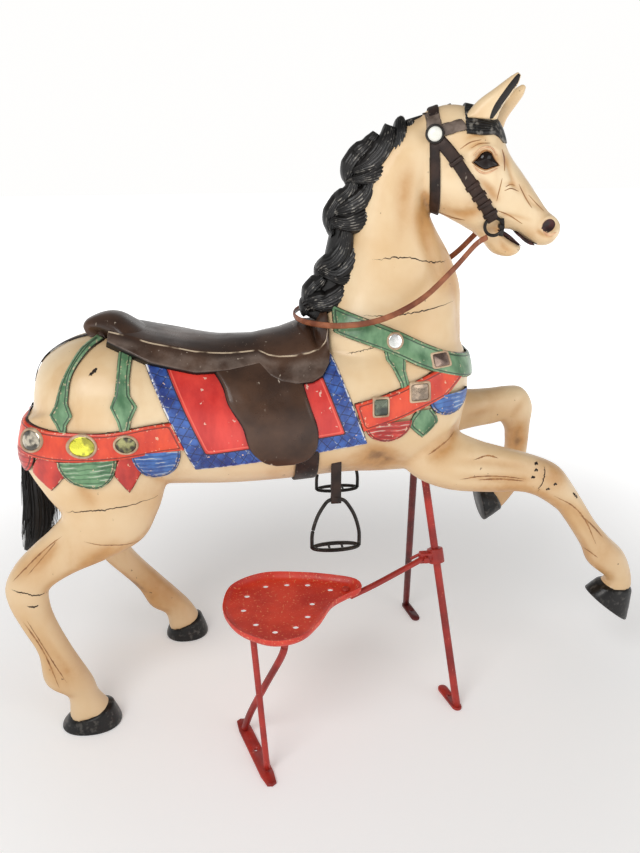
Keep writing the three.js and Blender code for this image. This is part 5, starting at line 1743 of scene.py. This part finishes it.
# Cracks in the old paint: path of [x, z] on the near side and half-width
CRACKS = [
    ([[-530, 532], [-486, 536], [-444, 539], [-345, 550]], 1.3),
    ([[-654, 369], [-630, 362], [-609, 353], [-584, 351]], 1.6),
    ([[93, 1001], [157, 1006], [209, 994], [250, 991]], 1.2),
    ([[73, 895], [137, 896], [172, 900], [266, 912]], 1.2),
    ([[38, 823], [70, 830], [99, 839]], 0.8), ([[466, 562], [464, 542], [454, 507]], 1.4),
    ([[-460, 806], [-452, 811], [-446, 816]], 2.6), ([[539, 496], [545, 489], [553, 481]], 1.8),
    ([[-628, 330], [-616, 326], [-606, 328]], 1.8), ([[444, 569], [448, 571], [452, 569]], 2.2),
    ([[442, 557], [446, 559], [450, 557]], 2.4), ([[435, 542], [439, 544], [443, 542]], 2.4),
    ([[487, 523], [491, 525], [495, 523]], 2.4), ([[471, 512], [475, 514], [479, 512]], 2.4),
]
CRACK_SEED = 3
# Carved lines of the legs and the chest, painted dark as the shade in their creases
CARVED_LINES = [
    ([[-642, 291], [-613, 214], [-588, 120]], 1.9), ([[-634, 295], [-603, 204], [-571, 133]], 1.6),
    ([[-651, 385], [-596, 437], [-544, 479]], 1.5), ([[-619, 400], [-581, 440], [-556, 467]], 1.2),
    ([[-500, 470], [-460, 458], [-400, 452], [-368, 462]], 1.2),
    ([[277, 549], [320, 554], [371, 550], [424, 539]], 1.8),
    ([[317, 546], [365, 544], [421, 535]], 2.2),
    ([[303, 591], [335, 597], [361, 590]], 1.6),
    ([[209, 603], [240, 623], [273, 640]], 2.0),
    ([[492, 495], [542, 463], [578, 423], [609, 362]], 1.8),
    ([[564, 437], [595, 410], [627, 375]], 2.0),
    ([[588, 347], [602, 339], [618, 327]], 1.6),
]
CARVED_SEED = 5


def skin_lines(name, rows, material, wobble, seed):
    """Thin ribbons on the near side of the body."""
    dice = np.random.default_rng(seed)
    points, faces = [], []
    for path, half in rows:
        line = smooth_line(path, 12 * len(path))
        line[1:-1] += dice.normal(0, wobble, (len(line) - 2, 2))
        taper = np.clip(np.sin(np.pi * np.linspace(0.02, 0.98, len(line))) * 1.5, 0.1, 1)
        widths = half * taper * dice.uniform(0.5, 1.1, len(line))
        start = len(points)
        for (x, z), (a, b), w in zip(line, directions(line), widths):
            for v in (-1, 0, 1):
                base, out = wall(body_tree, x - b * w * v, z + a * w * v, NEAR)
                points.append(base + out * 0.3)
        faces += grid_faces(len(line), 3, start)
    carved(name, (np.array(points), faces), material)


skin_lines("cracks", CRACKS, CRACK_PAINT, 0.9, CRACK_SEED)
skin_lines("carved_lines", CARVED_LINES, CARVE_PAINT, 0.2, CARVED_SEED)

# Iron stand, each rod with its top, foot and the end of its foot plate
RODS = [
    ("near", [226, -22, 560], [287, -210, 4], [272, -146]),
    ("far", [224, 22, 560], [268, 202, 4], [279, 140]),
]
ROD_RADIUS = 8.5
# From the hole to the outline of a plate: [share of the way, height]
PLATE_SECTION = [(1.0, 0.2), (1.0, 5.0), (0.97, 6.0), (0.0, 6.0), (0.0, 0.2), (1.0, 0.2)]
FOOT_BAR = ([-202, -196], [-154, -368])


def floor_plate(start, end, half, hole_share, hole_radius):
    """Flat bar on the floor with round ends and a hole."""
    a, b = np.array(start, float), np.array(end, float)
    ahead = (b - a) / np.hypot(*(b - a))
    side = np.array([-ahead[1], ahead[0]])
    middle = a + (b - a) * hole_share
    count = 64
    c, s = around(count)
    outline = []
    for d in np.hstack([c, s]):
        reach_ahead = (b - middle) @ ahead if d[0] > 0 else (a - middle) @ ahead
        tan = half / max(abs(d[1]), 1e-6)
        straight = abs(reach_ahead / d[0]) if abs(d[0]) > 1e-6 else 1e9
        if tan < straight:
            r = tan
        else:
            m = abs(reach_ahead)
            r = m * abs(d[0]) + math.sqrt(max(0.0, half**2 - (m * d[1]) ** 2))
        outline.append(middle + r * (d[0] * ahead + d[1] * side))
    outline = np.array(outline)
    hole = middle + hole_radius * (c * ahead + s * side)
    rows = []
    for share, z in PLATE_SECTION:
        plan = hole + (outline - hole) * share
        rows.append(np.column_stack([plan, np.full(count, z)]))
    return skin_rings(np.array(rows), caps=False)


def stand():
    for name, top, foot, toe in RODS:
        shapes = [tube([top, [(t + f) / 2 for t, f in zip(top, foot)], foot], ROD_RADIUS, 24, 20)]
        shapes.append(floor_plate(foot[:2], toe, 11, 0.55, 3.5))
        # The far rod gets a darker copy of the red rod paint: painted shade
        paint = SHADED_ROD if name == "far" else RED_ROD
        build(f"rod_{name}", merge(shapes), paint, (f"stand_leg_{name}",))
    start, end = FOOT_BAR
    build("foot_bar", floor_plate(start, end, 14, 0.5, 4.5), RED_ROD, ("seat_foot_bar",))


# Clamp on the near rod, with its bolt and lever
CLAMP_SHARE = 0.4
ARM = [[236, -98, 340], [160, -136, 328], [95, -164, 315], [40, -182, 303]]
STRAIGHT_LEG = [[-176, -300, 311], [-167, -321, 160], [-158, -342, 9]]
CURVED_LEG = [[-112, -310, 311], [-118, -302, 262], [-148, -268, 170], [-182, -235, 70], [-198, -218, 9]]


# Clamp's collar of [radius, height], lug of [x, share of its size] and bolt head of [y, share of its radius]
COLLAR = [(15, -17), (17.4, -16), (18, -14), (18, 14), (17.4, 16), (15, 17), (9, 17), (9, -17), (15, -17)]
LUG_PLACE = np.array([-24.0, -4.0, 0.0])
LUG = [(-15, 0.85), (-13.5, 1), (13.5, 1), (15, 0.9)]
BOLT_PLACE = np.array([-26.0, -17.0, 0.0])
BOLT_RADIUS = 8.0
BOLT = [(6, 1), (-3.5, 1), (-5, 0.86)]
LEVER = np.array([[-36.0, 0.0, 6.0], [-46.0, 2.0, 0.0], [-58.0, 2.0, -6.0]])


def clamp():
    top, foot = (np.array(p, float) for p in RODS[0][1:3])
    centre = top + (foot - top) * CLAMP_SHARE
    axis = (top - foot) / np.linalg.norm(top - foot)
    ahead = np.cross(np.array([0.0, 1.0, 0.0]), axis)
    ahead /= np.linalg.norm(ahead)
    c, s = around(36)
    turn = c * ahead + s * np.cross(axis, ahead)
    shapes = [skin_rings(np.array([centre + r * turn + h * axis for r, h in COLLAR]), caps=False)]
    c, s = oval(32, 6.0)
    rings = [centre + LUG_PLACE + np.stack([np.full(32, x), 9 * k * c, 13 * k * s], 1) for x, k in LUG]
    shapes.append(skin_rings(np.array(rings)))
    c, s = (BOLT_RADIUS * part for part in around(6))
    rings = [centre + BOLT_PLACE + np.hstack([k * c, np.full((6, 1), y), k * s]) for y, k in BOLT]
    shapes.append(skin_rings(np.array(rings)))
    shapes.append(tube(centre + LEVER, 3.5, 12, 16))
    build("clamp", merge(shapes), RED_ROD, ("stand_clamp",))
    build("arm", tube(ARM, 6.5, 18, 40), RED_ROD, ("seat_arm",))
    build("leg_straight", tube(STRAIGHT_LEG, 6.5, 18, 24), RED_ROD, ("seat_leg_straight",))
    build("leg_curved", tube(CURVED_LEG, 7.5, 18, 48), RED_ROD, ("seat_leg_curved",))


# Pressed seat: outline, section of [share of the outline, height] and holes
SEAT_OUTLINE = [
    [-232, -216], [-210, -146], [-143, -109], [-61, -117], [13, -139], [56, -162], [62, -194], [34, -212],
    [-6, -242], [-42, -301], [-84, -346], [-140, -355], [-195, -320], [-224, -272],
]
SEAT_HOLES = [
    [-138, -140], [-92, -140], [-48, -147], [-2, -172], [-180, -172], [-190, -222],
    [-168, -274], [-132, -304], [-90, -294], [-62, -262], [-47, -218],
]
SEAT_CENTRE = np.array([-120.0, -230.0])
SEAT_SECTION = [
    [0.02, 318], [0.45, 318], [0.8, 318.6], [0.9, 320], [0.95, 324], [0.975, 331], [0.985, 333.6],
    [0.995, 333.8],
    [1.0, 332], [0.992, 324], [0.965, 318], [0.92, 315.6], [0.8, 314.4], [0.45, 314], [0.02, 314],
]
SEAT_HOLE_RADIUS = 6.5


SEAT_DRILL = (290.0, 345.0)
SEAT_BOLT = [[0.1, 7], [5, 6.4], [8, 4], [9, 0], [9, -3]]
SEAT_BOLT_PLACE = np.array([30.0, -180.0, 319.0])


def plain_object(name, shape):
    made = bpy.data.objects.new(name, mesh_of(name, shape))
    scene.collection.objects.link(made)
    return made


def seat():
    closed = SEAT_OUTLINE[-1:] + SEAT_OUTLINE + SEAT_OUTLINE[:2]
    rim = smooth_line(closed, 12 * (len(closed) - 1) + 1)[12:-12 - 1]
    rings = []
    for share, z in SEAT_SECTION:
        plan = SEAT_CENTRE + (rim - SEAT_CENTRE) * share
        rings.append(np.column_stack([plan, np.full(len(rim), z)]))
    pan = plain_object("seat_pan", skin_rings(np.array(rings)))
    circle = SEAT_HOLE_RADIUS * np.hstack(around(24))
    drills = []
    for hole in SEAT_HOLES:
        rings = [np.column_stack([hole + circle, np.full(24, z)]) for z in SEAT_DRILL]
        drills.append(skin_rings(np.array(rings)))
    cutter = plain_object("seat_drills", merge(drills))
    cut = pan.modifiers.new("holes", "BOOLEAN")
    cut.object = cutter
    cut.solver = "EXACT"
    mesh = bpy.data.meshes.new_from_object(pan.evaluated_get(bpy.context.evaluated_depsgraph_get()))
    points = mesh_arrays(mesh)[0]
    faces = [tuple(p.vertices) for p in mesh.polygons]
    for made in (pan, cutter):
        bpy.data.objects.remove(made)
    piece = build("seat", (points, faces), SEAT_RED, ("tractor_seat",))
    piece.data.set_sharp_from_angle(angle=math.radians(40))
    bolt = lathe(SEAT_BOLT, SEAT_BOLT_PLACE, np.array([0.0, 0.0, 1.0]), np.array([1.0, 0.0, 0.0]))
    build("seat_bolt", bolt, RED_IRON, ("tractor_seat",))


stand()
clamp()
seat()

# Reins: one strap from bit ring to bit ring, in front of the saddle
REIN_NEAR = [
    [291, -100, 1029], [241, -120, 984], [177, -134, 932], [99, -136, 896], [24, -116, 882], [-34, -66, 878],
]
REIN_BACK = [[-54, 0, 878]]
REIN_FAR = [
    [-34, 66, 878], [24, 116, 880], [99, 136, 890], [177, 134, 912], [250, 110, 940], [300, 72, 980],
]
REIN_WIDTH = 12.0
REIN_FLATNESS = 0.4


def rein_end(side):
    base, out = head_wall(*BIT, side)
    return base + out * BIT_RISE + np.array([-12.0, 0.0, -20.0])


def reins():
    route = [rein_end(NEAR)] + REIN_NEAR + REIN_BACK + REIN_FAR + [rein_end(FAR)]
    line = smooth_line(route, 160)
    shape = tube(route, REIN_WIDTH / 2, 16, 160, REIN_FLATNESS)
    strap_piece = build("rein_strap", shape, REIN_LEATHER, ("reins",), even(shape, edge=5.0))
    row = to_row(line)


reins()
